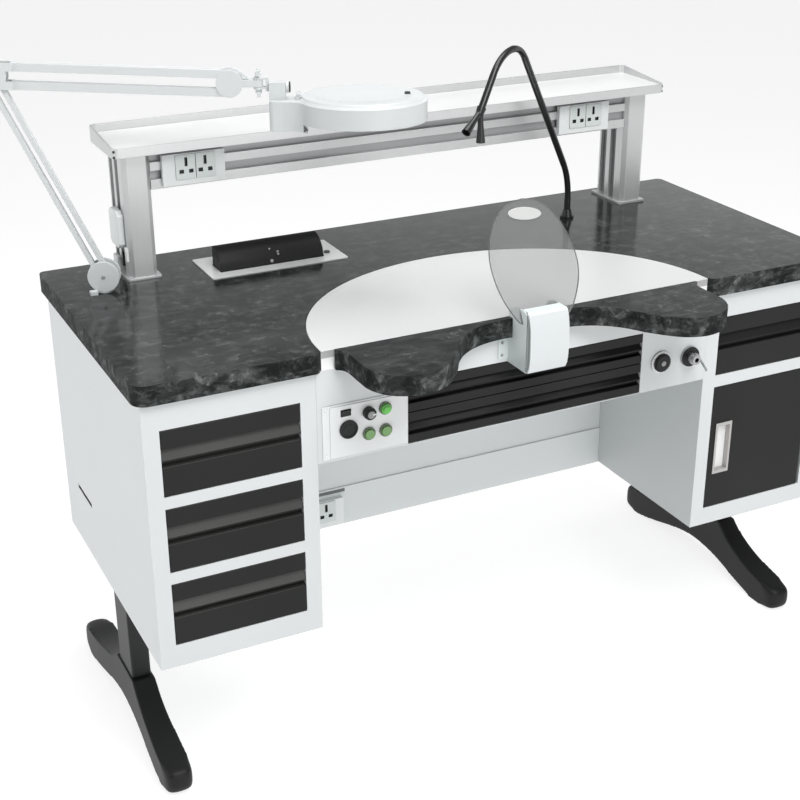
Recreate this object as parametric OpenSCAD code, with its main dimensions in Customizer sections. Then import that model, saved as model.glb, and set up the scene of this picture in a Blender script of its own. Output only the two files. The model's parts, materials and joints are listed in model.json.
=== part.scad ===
// Dental laboratory workbench: granite worktop with a steel work plate and arm rests,
// two steel cabinets on T-legs, a rear shelf on two posts, power sockets, a suction box
// with a clear shield, a magnifier lamp on a jointed arm and a twin gooseneck lamp.
// X runs to the right, Y to the back, Z up. Lengths are in millimetres.

/* [Worktop] */
// Width of the worktop
top_w = 1400; // [1390:5:1410]
// Depth of the worktop
top_d = 600; // [590:5:610]
// Height of the worktop's upper face above the floor
top_h = 800; // [790:5:820]
// Thickness of the worktop and of the arm rest board
top_t = 35; // [32:1:36]
// Overhang of the worktop past the cabinets at the sides and at the front
top_over = 10; // [8:1:14]
// Half width of the steel work plate
plate_a = 385; // [375:5:388]
// Depth of the steel work plate
plate_b = 336; // [320:4:345]

/* [Cabinets] */
// Width of each cabinet
cab_w = 295; // [293:1:298]
// Depth of each cabinet
cab_d = 578; // [560:2:584]
// Height of each cabinet
cab_h = 488; // [484:1:496]
// Thickness of the cabinets' sheet steel
sheet = 2; // [1.5:0.5:2.5]
// Height of a drawer opening
drawer_h = 117.4; // [115:0.2:118]
// Width of a drawer opening
drawer_w = 238; // [234:1:240]
// Width of the frame between two drawer openings
rail_h = 22.2; // [20:0.2:23]
// Length of the cabinet drawers' boxes
drawer_len = 480; // [440:10:500]

/* [Legs] */
// Width of a foot under its column
foot_w = 42; // [42:1:48]
// Width of a leg column
column_w = 36; // [32:1:38]
// Depth of a leg column
column_d = 82; // [70:2:88]

/* [Rear shelf] */
// Length of the rear shelf
shelf_w = 1164; // [1140:4:1190]
// Depth of the rear shelf
shelf_d = 153; // [140:1:158]
// Height of the posts that carry the shelf
post_h = 235; // [220:1:250]
// Width of a post
post_w = 52; // [40:1:54]
// Depth of a post
post_d = 96; // [90:1:100]

/* [Lamps] */
// Length of the magnifier lamp's lower arm between its pins
lower_arm = 392; // [360:1:400]
// Length of the magnifier lamp's upper arm
upper_arm = 401; // [380:1:410]
// Radius of the magnifier lamp's head
head_r = 111; // [106:1:114]
// Radius of the gooseneck tube
neck_r = 6.5; // [5.5:0.5:7]

/* [Hidden] */
$fn = 48;

// Heights
zt = top_h - top_t;
zb = zt - cab_h;
top_rail = 49;
z1 = zt - top_rail - drawer_h;
z2 = z1 - rail_h - drawer_h;
z3 = z2 - rail_h - drawer_h;

// Plan positions
cab_out = top_w / 2 - top_over;
cab_in = cab_out - cab_w;
cab_mid = cab_out - cab_w / 2;
top_back = top_d - top_over;
knee_y = 330;

// Centre drawers and the panels beside them
cd_left = 168 - cab_in;
cd_right = cab_in - 145;
cd_mid = (cd_left + cd_right) / 2;
cd_w = cd_right - cd_left;
cd_h = (drawer_h - 1.6) / 2 - 1;

// Arm rest board
rest_front = -158;

// Control panel and air fittings, in X
panel_x = 9 - cab_in;
air_in = cab_in - 102;
air_out = cab_in - 38;

// Rear shelf
post_x = 508;
post_y = 461;
post_top = top_h + post_h;
shelf_y = 435;
rail_y = 466;

// Power box
pb_l = -398;
pb_r = -191;
pb_y = 473;
pb_z = top_h - 3;
pb_rad = 43;
release = [-177, 448];

// Suction box
sb_x = 3;
sb_hw = 38;
shield_tilt = 25;
shield_y = -47;

// Gooseneck lamp
gn = [356, 433];
gn_turn = 210;

// Magnifier lamp: where it stands, which way it turns, and its pins
lamp = [85.3 - top_w / 2, 436.7];
lamp_turn = -24;
shoulder_z = top_h + 29.5;
arm_lean = 114.1;
elbow = [lower_arm * cos(arm_lean), shoulder_z + lower_arm * sin(arm_lean)];
arm_drop = -2.7;
wrist = [elbow[0] + upper_arm * cos(arm_drop), elbow[1] + upper_arm * sin(arm_drop)];
head_roll = -2.6;
elbow_r = 29;
elbow_t = 22;

// Points on an arc
function arc(c, r, a0, a1, n) = [for (i = [0:n]) let (a = a0 + (a1 - a0) * i / n)
    [c[0] + r * cos(a), c[1] + r * sin(a)]];
// Points on an ellipse about the origin
function oval(a, b, a0, a1, n) = [for (i = [0:n]) let (t = a0 + (a1 - a0) * i / n)
    [a * cos(t), b * sin(t)]];
// A smooth curve through points
function blend(a, b, c, d, t) = 0.5 * (2 * b + (c - a) * t + (2 * a - 5 * b + 4 * c - d) * t * t
    + (3 * b - a - 3 * c + d) * t * t * t);
function smooth(p, n) = concat([for (i = [0:len(p) - 2]) for (k = [0:n - 1])
    blend(p[max(i - 1, 0)], p[i], p[i + 1], p[min(i + 2, len(p) - 1)], k / n)], [p[len(p) - 1]]);
function flip(p) = [for (i = [len(p) - 1:-1:0]) [-p[i][0], p[i][1]]];
// Rounded rectangle about the origin
function rounded(w, d, r, n = 6) = concat(
    arc([w / 2 - r, d / 2 - r], r, 0, 90, n), arc([r - w / 2, d / 2 - r], r, 90, 180, n),
    arc([r - w / 2, r - d / 2], r, 180, 270, n), arc([w / 2 - r, r - d / 2], r, 270, 360, n));

// Left half of the arm rest board's front edge, from its end to the middle
rest_half = smooth([[-361, -2], [-361, -8], [-353, -15], [-349, -30], [-349, -70], [-347, -104],
    [-330, -136], [-298, -155], [-262, rest_front], [-226, -142], [-190, -104], [-165, -66],
    [-135, -38], [-100, -21], [-64, -14], [-30, -13], [0, -13]], 5);
rest_low = min([for (p = rest_half) p[1]]);

// The origin is on the floor, in the middle of everything
low_x = lamp[0] + elbow[0] * cos(lamp_turn) - elbow_r * cos(lamp_turn)
    + (elbow_t / 2) * sin(lamp_turn);
high_x = top_w / 2;
frame_x = -(low_x + high_x) / 2;
frame_y = -(rest_low + top_back) / 2;

module frame() {
    translate([frame_x, frame_y, 0]) children();
}

// A block given by its lowest and highest corners
module block(a, b) {
    translate(a) cube(b - a);
}

// A profile in Y and Z drawn out along X
module along_x(x0, x1, pts) {
    translate([x0, 0, 0]) rotate([90, 0, 90]) linear_extrude(x1 - x0) polygon(pts);
}

// A round bar along Y
module rod_y(x, z, r, y0, y1) {
    translate([x, y1, z]) rotate([90, 0, 0]) cylinder(r = r, h = y1 - y0);
}

module worktop() {
    e = plate_a + 1;
    color([0.12, 0.12, 0.12]) frame() difference() {
        translate([0, 0, zt]) linear_extrude(top_t) polygon(concat(
            arc([25 - top_w / 2, 25 - top_over], 25, 180, 270, 8),
            arc([-e - 14, 14 - top_over], 14, 270, 360, 6),
            oval(e, plate_b + 1, 179, 1, 60),
            arc([e + 14, 14 - top_over], 14, 180, 270, 6),
            arc([top_w / 2 - 25, 25 - top_over], 25, 270, 360, 8),
            arc([top_w / 2 - 12, top_back - 12], 12, 0, 90, 8),
            arc([12 - top_w / 2, top_back - 12], 12, 90, 180, 8)));
        // Opening for the power box
        block([pb_l - 3, pb_y - pb_rad - 4, zt - 1], [pb_r + 4, pb_y + 8, top_h + 1]);
        // Recess under the release button
        translate([release[0], release[1], top_h - 5]) cylinder(r = 7.2, h = 6);
        // Holes for the two lamps
        translate([gn[0], gn[1], zt - 1]) cylinder(d = 12.2, h = top_t + 2);
        translate([lamp[0], lamp[1], zt - 1]) cylinder(d = 20.2, h = top_t + 2);
    }
}

// Half oval from the front edge back
function half_plate(a, b) = concat([[-a, 1.2]], oval(a, b, 179, 1, 60), [[a, 1.2], [a, -1], [-a, -1]]);

module work_plate() {
    color([0.86, 0.87, 0.87]) frame() difference() {
        translate([0, 0, zt]) linear_extrude(top_t) polygon(half_plate(plate_a, plate_b));
        translate([0, 3, zt - 1]) linear_extrude(top_t - 2)
            polygon(concat(oval(plate_a - 3, plate_b - 5, 178, 2, 60)));
    }
}

module armrest_board() {
    color([0.12, 0.12, 0.12]) frame() translate([0, 0, zt]) linear_extrude(top_t)
        polygon(concat(rest_half, flip([for (i = [0:len(rest_half) - 2]) [rest_half[i][0] * 0.986,
            rest_half[i][1]]])));
}

module armrest_brackets() {
    color([0.25, 0.25, 0.25]) frame() for (s = [-1, 1]) {
        block([s * 270 - 20, -4, zt - 46], [s * 270 + 20, 0, zt]);
        block([s * 270 - 20, -120, zt - 4], [s * 270 + 20, -4, zt]);
        along_x(s * 270 - 2, s * 270 + 2, [[-4, zt - 46], [-4, zt - 4], [-110, zt - 4], [-110, zt - 10]]);
    }
}

// White front between the cabinets, with the opening for the centre drawers
module centre_front() {
    color([0.93, 0.94, 0.94]) frame() difference() {
        block([-cab_in, 0, z1 - 1.5], [cab_in, sheet, zt]);
        block([cd_left, -1, z1], [cd_right, sheet + 1, zt - top_rail]);
        // Openings behind the control plate, the suction box and the air fittings
        block([panel_x + 8, -1, z1 + 12], [panel_x + 148, sheet + 1, z1 + 94]);
        block([sb_x - 26, -1, zt - 42], [sb_x + 26, sheet + 1, zt - 8]);
        for (x = [air_in, air_out]) rod_y(x, z1 + 53.6, 9, -1, sheet + 1);
    }
}

// Walls beside the centre drawers
module centre_walls() {
    color([0.9, 0.91, 0.91]) frame() for (x = [cd_left - sheet, cd_right])
        block([x, sheet, z1], [x + sheet, knee_y - sheet, zt]);
}

// Sheet under and behind the centre drawers
module centre_floor() {
    color([0.93, 0.94, 0.94]) frame() union() {
        block([-cab_in, sheet, z1 - 1.5], [cab_in, knee_y, z1]);
        block([-cab_in, knee_y - sheet, z1], [cab_in, knee_y, zt]);
    }
}

// Control panel, with its raised inner plate
cp_z = z1 + 4;
knob_at = [panel_x + 82.3, z1 + 78.1];
rocker_at = [panel_x + 41.7, z1 + 84.6];
socket_at = [panel_x + 45.7, z1 + 54.3];
lamp_at = [panel_x + 113.4, z1 + 79.4];
start_at = [panel_x + 83, z1 + 38.6];
stop_at = [panel_x + 114, z1 + 38.6];

module control_plate() {
    color([0.95, 0.95, 0.95]) frame() difference() {
        union() {
            block([panel_x, -2, cp_z], [panel_x + 157, 0, cp_z + 97]);
            block([panel_x + 13, -4, cp_z + 2], [panel_x + 155, -2, cp_z + 94]);
        }
        rod_y(knob_at[0], knob_at[1], 3.05, -5, 1);
        rod_y(socket_at[0], socket_at[1], 14, -5, 1);
        for (p = [lamp_at, start_at, stop_at]) rod_y(p[0], p[1], 9, -5, 1);
        block([rocker_at[0] - 9.5, -5, rocker_at[1] - 6.5], [rocker_at[0] + 9.5, 1, rocker_at[1] + 6.5]);
        // Bores for the rocker's axle
        translate([rocker_at[0] - 11, -2, rocker_at[1]]) rotate([0, 90, 0]) cylinder(r = 1.05, h = 22);
    }
}

module button_bezels() {
    color([0.75, 0.76, 0.77]) frame() for (p = [lamp_at, start_at, stop_at]) difference() {
        rod_y(p[0], p[1], 11.5, -7.5, -4);
        rod_y(p[0], p[1], 9, -8, -3);
    }
}

module rocker_switch() {
    color([0.16, 0.16, 0.17]) frame() translate([rocker_at[0], 0, rocker_at[1]]) union() {
        along_x(-8.8, 8.8, [[-6, -5.4], [-5, 0], [-7.2, 5.4], [4, 4], [4, -4]]);
        translate([-10.8, -2, 0]) rotate([0, 90, 0]) cylinder(r = 1, h = 21.6);
    }
}

module motor_socket() {
    color([0.1, 0.1, 0.11]) frame() difference() {
        union() {
            rod_y(socket_at[0], socket_at[1], 16.5, -8, -4);
            rod_y(socket_at[0], socket_at[1], 13.8, -4, 12);
        }
        rod_y(socket_at[0], socket_at[1], 13, -9, -6.5);
    }
}

module speed_knob() {
    color([0.12, 0.12, 0.12]) frame() union() {
        rod_y(knob_at[0], knob_at[1], 10.5, -16, -4.4);
        rod_y(knob_at[0], knob_at[1], 9, -18, -16);
        rod_y(knob_at[0], knob_at[1], 3, -4.4, 12);
    }
}

// A round cap in a bezel, on a stem through the plate
module cap(p, r, y0, y1) {
    rod_y(p[0], p[1], r, y0, y1);
    rod_y(p[0], p[1], r - 1.5, y1, 6);
}

module power_lamp() {
    color([0.45, 0.85, 0.4]) frame() union() {
        cap(lamp_at, 8.8, -12, -3);
        rod_y(lamp_at[0], lamp_at[1], 6.5, -14, -12);
    }
}

module start_button() {
    color([0.4, 0.7, 0.35]) frame() cap(start_at, 8.6, -11, -3);
}

module stop_button() {
    color([0.4, 0.7, 0.35]) frame() cap(stop_at, 8.6, -11, -3);
}

module air_socket() {
    p = [air_in, z1 + 53.6];
    color([0.2, 0.21, 0.21]) frame() difference() {
        union() {
            rod_y(p[0], p[1], 18.5, -2.5, 0);
            rod_y(p[0], p[1], 15, -10, -2.5);
            rod_y(p[0], p[1], 8.8, 0, 14);
        }
        rod_y(p[0], p[1], 5, -18, 15);
    }
}

module air_coupler() {
    p = [air_out, z1 + 53.6];
    color([0.6, 0.61, 0.61]) frame() difference() {
        union() {
            rod_y(p[0], p[1], 19.5, -5, 0);
            rod_y(p[0], p[1], 11, -18, -5);
            rod_y(p[0], p[1], 9, -25, -18);
            rod_y(p[0], p[1], 8.8, 0, 14);
        }
        rod_y(p[0], p[1], 4.5, -26, 15);
        // Seat for the lever's pin
        translate([p[0] + 6, -12, p[1]]) rotate([0, 90, 0]) cylinder(r = 2.05, h = 8);
    }
}

module coupler_lever() {
    p = [air_out, z1 + 53.6];
    color([0.68, 0.69, 0.69]) frame() union() {
        translate([p[0] + 7, -12, p[1]]) rotate([0, 90, 0]) cylinder(r = 2, h = 6);
        translate([p[0] + 11.4, -12, p[1]]) rotate([0, 90, 0]) cylinder(r = 4, h = 3);
        translate([p[0] + 11.4, -12, p[1]]) rotate([123, 0, 0])
            translate([0.4, -2, 1]) cube([2.2, 4, 32]);
    }
}

// Drawer front seen from the side: flat top, scooped grip, undercut and flat foot
function front_profile(h, a, b, c) = [[0, h], [0, h * a], [8, h * a - 2], [0, h * b + 1],
    [0, h * b - 1.5], [9, h * b - 3], [9, h * c], [0, h * c - 1.5], [0, 0], [16, 0], [16, h]];

// Drawer box behind its front, with its middle at X 0 and the front's lowest edge at Z 0
module drawer_box(w, len, box_h, zr) {
    t = 1.5;
    hw = w / 2 - 13;
    difference() {
        block([-hw, 16, 5], [hw, 16 + len, box_h]);
        block([t - hw, 16 + t, 5 + t], [hw - t, 16 + len - t, box_h + 1]);
    }
    // Bars that run in the channels
    for (s = [-1, 1]) block([s * (hw + 4) - 4, 24, zr - 8], [s * (hw + 4) + 4, 16 + len, zr + 7]);
}

// Slim drawer box put together from a floor, two side profiles with bars, a front and a back panel
module panel_box(w, len, box_h, zr) {
    t = 1.5;
    g = 0.1;
    hw = w / 2 - 13;
    block([t + g - hw, 16 + t + g, 5], [hw - t - g, 16 + len - t - g, 5 + t]);
    for (y = [16, 16 + len - t]) block([t + g - hw, y, 5], [hw - t - g, y + t, box_h]);
    for (s = [-1, 1]) union() {
        block([s * (hw - t / 2) - t / 2, 16, 5], [s * (hw - t / 2) + t / 2, 16 + len, box_h]);
        block([s * (hw + 4) - 4, 24, zr - 8], [s * (hw + 4) + 4, 16 + len, zr + 7]);
    }
}

// Pair of channels that a drawer's bars slide in
module runners(w, len, zr, wall) {
    hw = w / 2 - 13;
    for (s = [-1, 1]) scale([s, 1, 1]) {
        block([hw + 9, 20, zr - 10], [hw + 11, len, zr + 10]);
        block([hw + 1.5, 20, zr + 8], [hw + 9, len, zr + 10]);
        block([hw + 1.5, 20, zr - 10], [hw + 9, len, zr - 8]);
        for (y = [34, len - 44]) block([hw + 11, y, zr - 8], [wall, y + 24, zr + 8]);
    }
}

cd_low = z1 + 1;
cd_high = z1 + 2.6 + cd_h;

module pull_front(z) {
    color([0.17, 0.17, 0.17]) frame() translate([0, 0, z])
        along_x(cd_left + 1, cd_right - 1, front_profile(cd_h, 0.7, 0.46, 0.3));
}

module centre_box(z) {
    color([0.17, 0.17, 0.17]) frame() translate([cd_mid, 0, z])
        panel_box(cd_w - 2, knee_y - 40, cd_h - 13, cd_h / 2 - 6.5);
}

module centre_upper_front() {
    pull_front(cd_high);
}

module centre_upper_box() {
    centre_box(cd_high);
}

module centre_lower_front() {
    pull_front(cd_low);
}

module centre_lower_box() {
    centre_box(cd_low);
}

module side_drawer(x, z) {
    w = drawer_w - 2;
    color([0.17, 0.17, 0.17]) frame() translate([x, 0, z]) union() {
        along_x(-w / 2, w / 2, front_profile(drawer_h - 2, 0.72, 0.545, 0.455));
        drawer_box(w, drawer_len, drawer_h - 25, drawer_h / 2 - 12.5);
    }
}

module left_drawer_top() {
    side_drawer(-cab_mid, z1 + 1);
}

module left_drawer_middle() {
    side_drawer(-cab_mid, z2 + 1);
}

module left_drawer_bottom() {
    side_drawer(-cab_mid, z3 + 1);
}

module right_drawer() {
    side_drawer(cab_mid, z1 + 1);
}

// Folded sheet cabinet with openings in its front, each given by its lower and upper edge
module cabinet(x, openings) {
    hw = cab_w / 2;
    s = sheet;
    o = drawer_w / 2;
    translate([x, 0, 0]) difference() {
        union() {
            block([-hw, 0, zb], [hw, s, zt]);
            block([-hw, s, zb], [s - hw, cab_d, zt]);
            block([hw - s, s, zb], [hw, cab_d, zt]);
            block([s - hw, cab_d - s, zb], [hw - s, cab_d, zt]);
            block([s - hw, s, zb], [hw - s, cab_d - s, zb + s]);
            for (q = openings) block([-o - s, s, q[0] - s], [o + s, 16, q[1] + s]);
        }
        for (q = openings) block([-o, -1, q[0]], [o, 17, q[1]]);
    }
}

module left_cabinet() {
    color([0.93, 0.94, 0.94]) frame() difference() {
        cabinet(-cab_mid, [[z1, z1 + drawer_h], [z2, z2 + drawer_h], [z3, z3 + drawer_h]]);
        // Slot in the outer side
        block([-cab_out - 1, 392, zb + 119], [-cab_out + sheet + 1, 486, zb + 127]);
        // Notch for the power box's pocket
        block([-cab_in - sheet - 1, pb_y - pb_rad - 5, top_h - 56], [1 - cab_in, pb_y + 9, zt + 1]);
    }
}

door_pin = [cab_mid + drawer_w / 2 - 9, 8];

module right_cabinet() {
    color([0.93, 0.94, 0.94]) frame() difference() {
        cabinet(cab_mid, [[z1, z1 + drawer_h], [z3 - 6, z2 + drawer_h - 2]]);
        // Bores for the door's pins
        translate([door_pin[0], door_pin[1], z2 + drawer_h - 3]) cylinder(r = 3.05, h = 6);
        translate([door_pin[0], door_pin[1], z3 - 9]) cylinder(r = 3.05, h = 4);
    }
}

module left_runners() {
    color([0.7, 0.71, 0.72]) frame() for (z = [z1, z2, z3]) translate([-cab_mid, 0, z + 1])
        runners(drawer_w - 2, cab_d - 30, drawer_h / 2 - 12.5, cab_w / 2 - sheet);
}

module right_runners() {
    color([0.7, 0.71, 0.72]) frame() union() {
        translate([cab_mid, 0, z1 + 1])
            runners(drawer_w - 2, cab_d - 30, drawer_h / 2 - 12.5, cab_w / 2 - sheet);
        for (z = [cd_low, cd_high]) translate([cd_mid, 0, z])
            runners(cd_w - 2, knee_y - 12, cd_h / 2 - 6.5, cd_w / 2);
    }
}

module cabinet_door() {
    x0 = cab_mid - drawer_w / 2 + 1;
    lo = z3 - 5;
    hi = z2 + drawer_h - 3;
    color([0.17, 0.17, 0.17]) frame() difference() {
        union() {
            block([x0, 0, lo], [door_pin[0], 16, hi]);
            translate([door_pin[0], door_pin[1], lo]) cylinder(r = 8, h = hi - lo);
            translate([door_pin[0], door_pin[1], lo - 3]) cylinder(r = 3, h = hi - lo + 6);
        }
        block([x0 + 14, -1, lo + 74], [x0 + 48, 12, lo + 179]);
        // Hollow back of the folded panel
        block([x0 + 54, 2, lo + 3], [door_pin[0] - 12, 17, hi - 3]);
    }
}

module door_pull() {
    x0 = cab_mid - drawer_w / 2 + 1;
    lo = z3 - 5;
    color([0.75, 0.76, 0.77]) frame() difference() {
        union() {
            block([x0 + 12, -2, lo + 72], [x0 + 50, 0, lo + 181]);
            block([x0 + 14, 0, lo + 74], [x0 + 48, 12, lo + 179]);
        }
        block([x0 + 17, -3, lo + 79], [x0 + 45, 10, lo + 174]);
    }
}

module knee_panel() {
    color([0.9, 0.91, 0.91]) frame() block([-cab_in, knee_y, zb + 80], [cab_in, knee_y + sheet, zt]);
}

module cable_trunking() {
    color([0.91, 0.92, 0.92]) frame() difference() {
        block([-cab_in, knee_y - 3, zb - 2], [cab_in, knee_y + 60, zb + 80]);
        block([-cab_in + 2, knee_y - 1, zb], [cab_in - 2, knee_y + 58, zb + 78]);
        block([-cab_in + 60, knee_y + 50, zb + 10], [cab_in - 60, knee_y + 61, zb + 70]);
    }
}

// Double socket, its middle at X 0 and Z 0, with its back at Y 0
module double_socket() {
    difference() {
        union() {
            rotate([90, 0, 0]) linear_extrude(10) polygon(rounded(118, 57, 2, 3));
            translate([3, -10, 4]) rotate([90, 0, 0]) linear_extrude(1.5) polygon(rounded(76, 45, 2, 3));
        }
        // Holes for the pins, and the line between the two outlets
        for (g = [-18, 18]) translate([g + 3, 0, 4]) {
            block([-2.8, -12, 1], [2.8, -6, 17]);
            for (s = [-1, 1]) block([s * 9 - 4.2, -12, -12], [s * 9 + 4.2, -6, -5]);
        }
        block([2.4, -12, -18], [3.6, -10.8, 26]);
    }
}

module knee_socket() {
    color([0.92, 0.93, 0.93]) frame() translate([125 - cab_in, knee_y - 3, zb + 34]) double_socket();
}

module left_socket() {
    color([0.88, 0.9, 0.9]) frame() translate([-429, rail_y, post_top - 37.5]) double_socket();
}

module right_socket() {
    color([0.88, 0.9, 0.9]) frame() translate([402, rail_y, post_top - 37.5]) double_socket();
}

// Foot seen from the side, arched underneath
foot_top = smooth([[12, 48], [40, 51], [90, 60], [140, 75], [180, 94], [212, 120]], 5);
foot_back = smooth([[314, 120], [350, 98], [400, 80], [460, 66], [530, 56], [572, 48]], 5);
foot_arch = smooth([[500, 0], [440, 12], [370, 30], [300, 40], [230, 34], [160, 17], [90, 0]], 5);

// Foot seen from above: rounded ends, fuller than its middle
foot_side = concat(arc([foot_w / 2 - 15, 28], 20, -90, 0, 6), smooth([[foot_w / 2 + 5, 28],
    [foot_w / 2 + 4, 90], [foot_w / 2 + 1, 180], [foot_w / 2, 263], [foot_w / 2 + 1, 350],
    [foot_w / 2 + 4, 460], [foot_w / 2 + 5, 546]], 2), arc([foot_w / 2 - 15, 546], 20, 0, 90, 6));

module foot(s) {
    x = s * (cab_out - 4 - column_w / 2);
    color([0.13, 0.13, 0.13]) frame() intersection() {
        along_x(x - 40, x + 40, concat(foot_top, foot_back, arc([572, 24], 8, 60, 0, 3), [[580, 0]],
            foot_arch, [[20, 0]], arc([14, 14], 6, 240, 180, 3)));
        translate([x, 0, -1]) linear_extrude(130) polygon(concat(foot_side, flip(foot_side)));
    }
}

module left_foot() {
    foot(-1);
}

module right_foot() {
    foot(1);
}

module column(s) {
    x = s * (cab_out - 4 - column_w / 2);
    color([0.17, 0.17, 0.17]) frame() difference() {
        translate([x, 263, 120]) linear_extrude(zb - 120) polygon(rounded(column_w, column_d, 4, 4));
        translate([x, 263, 119]) linear_extrude(zb - 118)
            polygon(rounded(column_w - 6, column_d - 6, 2, 4));
    }
}

module left_column() {
    column(-1);
}

module right_column() {
    column(1);
}

// Post section: flat front and back with bevelled corners, and a groove in each side
module post(s) {
    w = post_w / 2;
    d = post_d / 2;
    color([0.72, 0.73, 0.74]) frame() translate([s * (post_x + w), post_y + d, 0]) difference() {
        union() {
            translate([0, 0, top_h + 5]) linear_extrude(post_h - 5) polygon([[8 - w, -d], [w - 8, -d],
                [w, 8 - d], [w, -17], [w - 8, -17], [w - 8, 3], [w, 3], [w, 17], [w - 8, 17], [w - 8, 37],
                [w, 37], [w, d - 6], [w - 6, d], [6 - w, d], [-w, d - 6], [-w, 37], [8 - w, 37],
                [8 - w, 17], [-w, 17], [-w, 3], [8 - w, 3], [8 - w, -17], [-w, -17], [-w, 8 - d]]);
            translate([0, 3, top_h]) linear_extrude(5) polygon(rounded(post_w + 12, post_d + 12, 3, 3));
        }
        // Hollow core
        translate([0, 0, top_h + 8]) linear_extrude(post_h)
            polygon([[11 - w, 3 - d], [w - 11, 3 - d], [w - 11, d - 3], [11 - w, d - 3]]);
    }
}

module left_post() {
    post(-1);
}

module right_post() {
    post(1);
}

// Rail with two grooves along its front
module rear_rail() {
    t = post_top;
    color([0.74, 0.75, 0.76]) frame() difference() {
        along_x(-post_x, post_x, [[rail_y, t - 71], [rail_y, t - 53], [rail_y + 9, t - 53],
            [rail_y + 9, t - 37], [rail_y, t - 37], [rail_y, t - 21], [rail_y + 9, t - 21],
            [rail_y + 9, t - 5], [rail_y, t - 5], [rail_y, t], [rail_y + 36, t], [rail_y + 36, t - 71]]);
        block([-post_x - 1, rail_y + 12, t - 67], [post_x + 1, rail_y + 33, t - 4]);
    }
}

// Tray rim: low in front, rising to a taller lip at the back, with round corners
module shelf_frame() {
    t = post_top;
    w = shelf_w / 2;
    color([0.78, 0.79, 0.8]) frame() difference() {
        intersection() {
            along_x(-w, w, [[shelf_y, t], [shelf_y + shelf_d, t], [shelf_y + shelf_d, t + 30],
                [shelf_y + shelf_d - 8, t + 30], [shelf_y, t + 17]]);
            translate([0, shelf_y + shelf_d / 2, t - 1]) linear_extrude(34)
                polygon(rounded(shelf_w, shelf_d, 12, 6));
        }
        translate([0, shelf_y + shelf_d / 2, t + 10]) linear_extrude(34)
            polygon(rounded(shelf_w - 8, shelf_d - 8, 9, 6));
        block([20 - post_x, rail_y + 50, t - 1], [post_x - 20, shelf_y + shelf_d - 14, t + 11]);
    }
}

module shelf_panel() {
    color([0.95, 0.95, 0.95]) frame() translate([0, shelf_y + shelf_d / 2, post_top + 10]) linear_extrude(5.5)
        polygon(rounded(shelf_w - 9, shelf_d - 9, 8.5, 6));
}

// Cable box on the outer side of the left post, with its clip
module side_box() {
    x = -post_x - post_w;
    color([0.8, 0.82, 0.82]) frame() union() {
        translate([x, post_y + 46, top_h + 91]) rotate([0, -90, 0]) linear_extrude(12)
            polygon([[-34, -20], [-26, -28], [28, -28], [36, -18], [36, 14], [28, 28], [-28, 28], [-34, 20]]);
        block([x - 8, post_y + 54, top_h + 8], [x, post_y + 82, top_h + 32]);
    }
}

// Steel frame and pocket in the worktop for the power box
module power_frame() {
    y0 = pb_y - pb_rad - 2;
    color([0.85, 0.86, 0.86]) frame() difference() {
        union() {
            translate([-288, 462, top_h]) linear_extrude(2) polygon(rounded(272, 120, 4, 3));
            block([pb_l - 2, y0 - 1, top_h - 54], [pb_r + 2, pb_y + 7, top_h]);
        }
        block([pb_l - 1, y0, top_h - 53], [pb_r + 1, pb_y + 6, top_h + 3]);
        translate([release[0], release[1], top_h - 1]) cylinder(r = 6.2, h = 4);
        // Bores for the box's pins
        translate([pb_l - 3, pb_y, pb_z]) rotate([0, 90, 0]) cylinder(r = 2.05, h = pb_r - pb_l + 6);
    }
}

// Quarter-round box that turns up out of its pocket
module power_box() {
    n = 14;
    color([0.11, 0.11, 0.12]) frame() difference() {
        union() {
            along_x(pb_l, pb_r, concat([[pb_y + 3.4, pb_z - 2.5], [pb_y + 3.4, pb_z + pb_rad - 2]],
                [for (i = [0:n]) let (a = 90 + 90 * i / n)
                    [pb_y + pb_rad * cos(a), pb_z + pb_rad * sin(a)]], [[pb_y - pb_rad, pb_z - 2.5]]));
            translate([pb_l - 2, pb_y, pb_z]) rotate([0, 90, 0]) cylinder(r = 2, h = pb_r - pb_l + 4);
        }
        block([pb_l + 4, pb_y - 28, pb_z - 4], [pb_r - 4, pb_y - 3, pb_z + 26]);
    }
}

module release_button() {
    color([0.3, 0.31, 0.32]) frame() translate([release[0], release[1], top_h]) union() {
        translate([0, 0, -2]) cylinder(r = 6.8, h = 2);
        cylinder(r = 5.8, h = 4.6);
    }
}

// Suction box under the middle of the arm rest board
module suction_housing() {
    side = [[0, zt - 49], [0, zt - 1], [-15, zt - 1], [-15, top_h], [-1.5, top_h], [-1.5, top_h + 9],
        [-6, top_h + 17], [-24, top_h + 24], [-50, top_h + 25], [-62, top_h + 21], [-62, zt - 49]];
    t = tan(shield_tilt);
    color([0.82, 0.85, 0.85]) frame() translate([sb_x, 0, 0]) difference() {
        union() {
            along_x(-sb_hw, -sb_hw + 2, side);
            along_x(sb_hw - 2, sb_hw, side);
            block([2 - sb_hw, -62, zt - 49], [sb_hw - 2, 0, zt - 47]);
            block([2 - sb_hw, -2, zt - 47], [sb_hw - 2, 0, zt - 1]);
            block([2 - sb_hw, -62, zt - 47], [sb_hw - 2, -60, top_h + 20]);
            for (s = [-1, 1]) block([s * 47 - 10, -2, zt - 42], [s * 47 + 10, 0, zt - 4]);
        }
        // Slots that hold the shield
        along_x(-sb_hw - 1, sb_hw + 1, [[shield_y - 2.7, top_h], [shield_y + 2.9, top_h],
            [shield_y + 2.9 + 40 * t, top_h + 40], [shield_y - 2.7 + 40 * t, top_h + 40]]);
        // Opening to the duct
        block([-26, -3, zt - 42], [26, 1, zt - 8]);
        // Screw holes of the two flanges
        for (s = [-1, 1]) for (z = [-35, -12]) rod_y(s * 50, zt + z, 2, -3, 1);
    }
}

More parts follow.
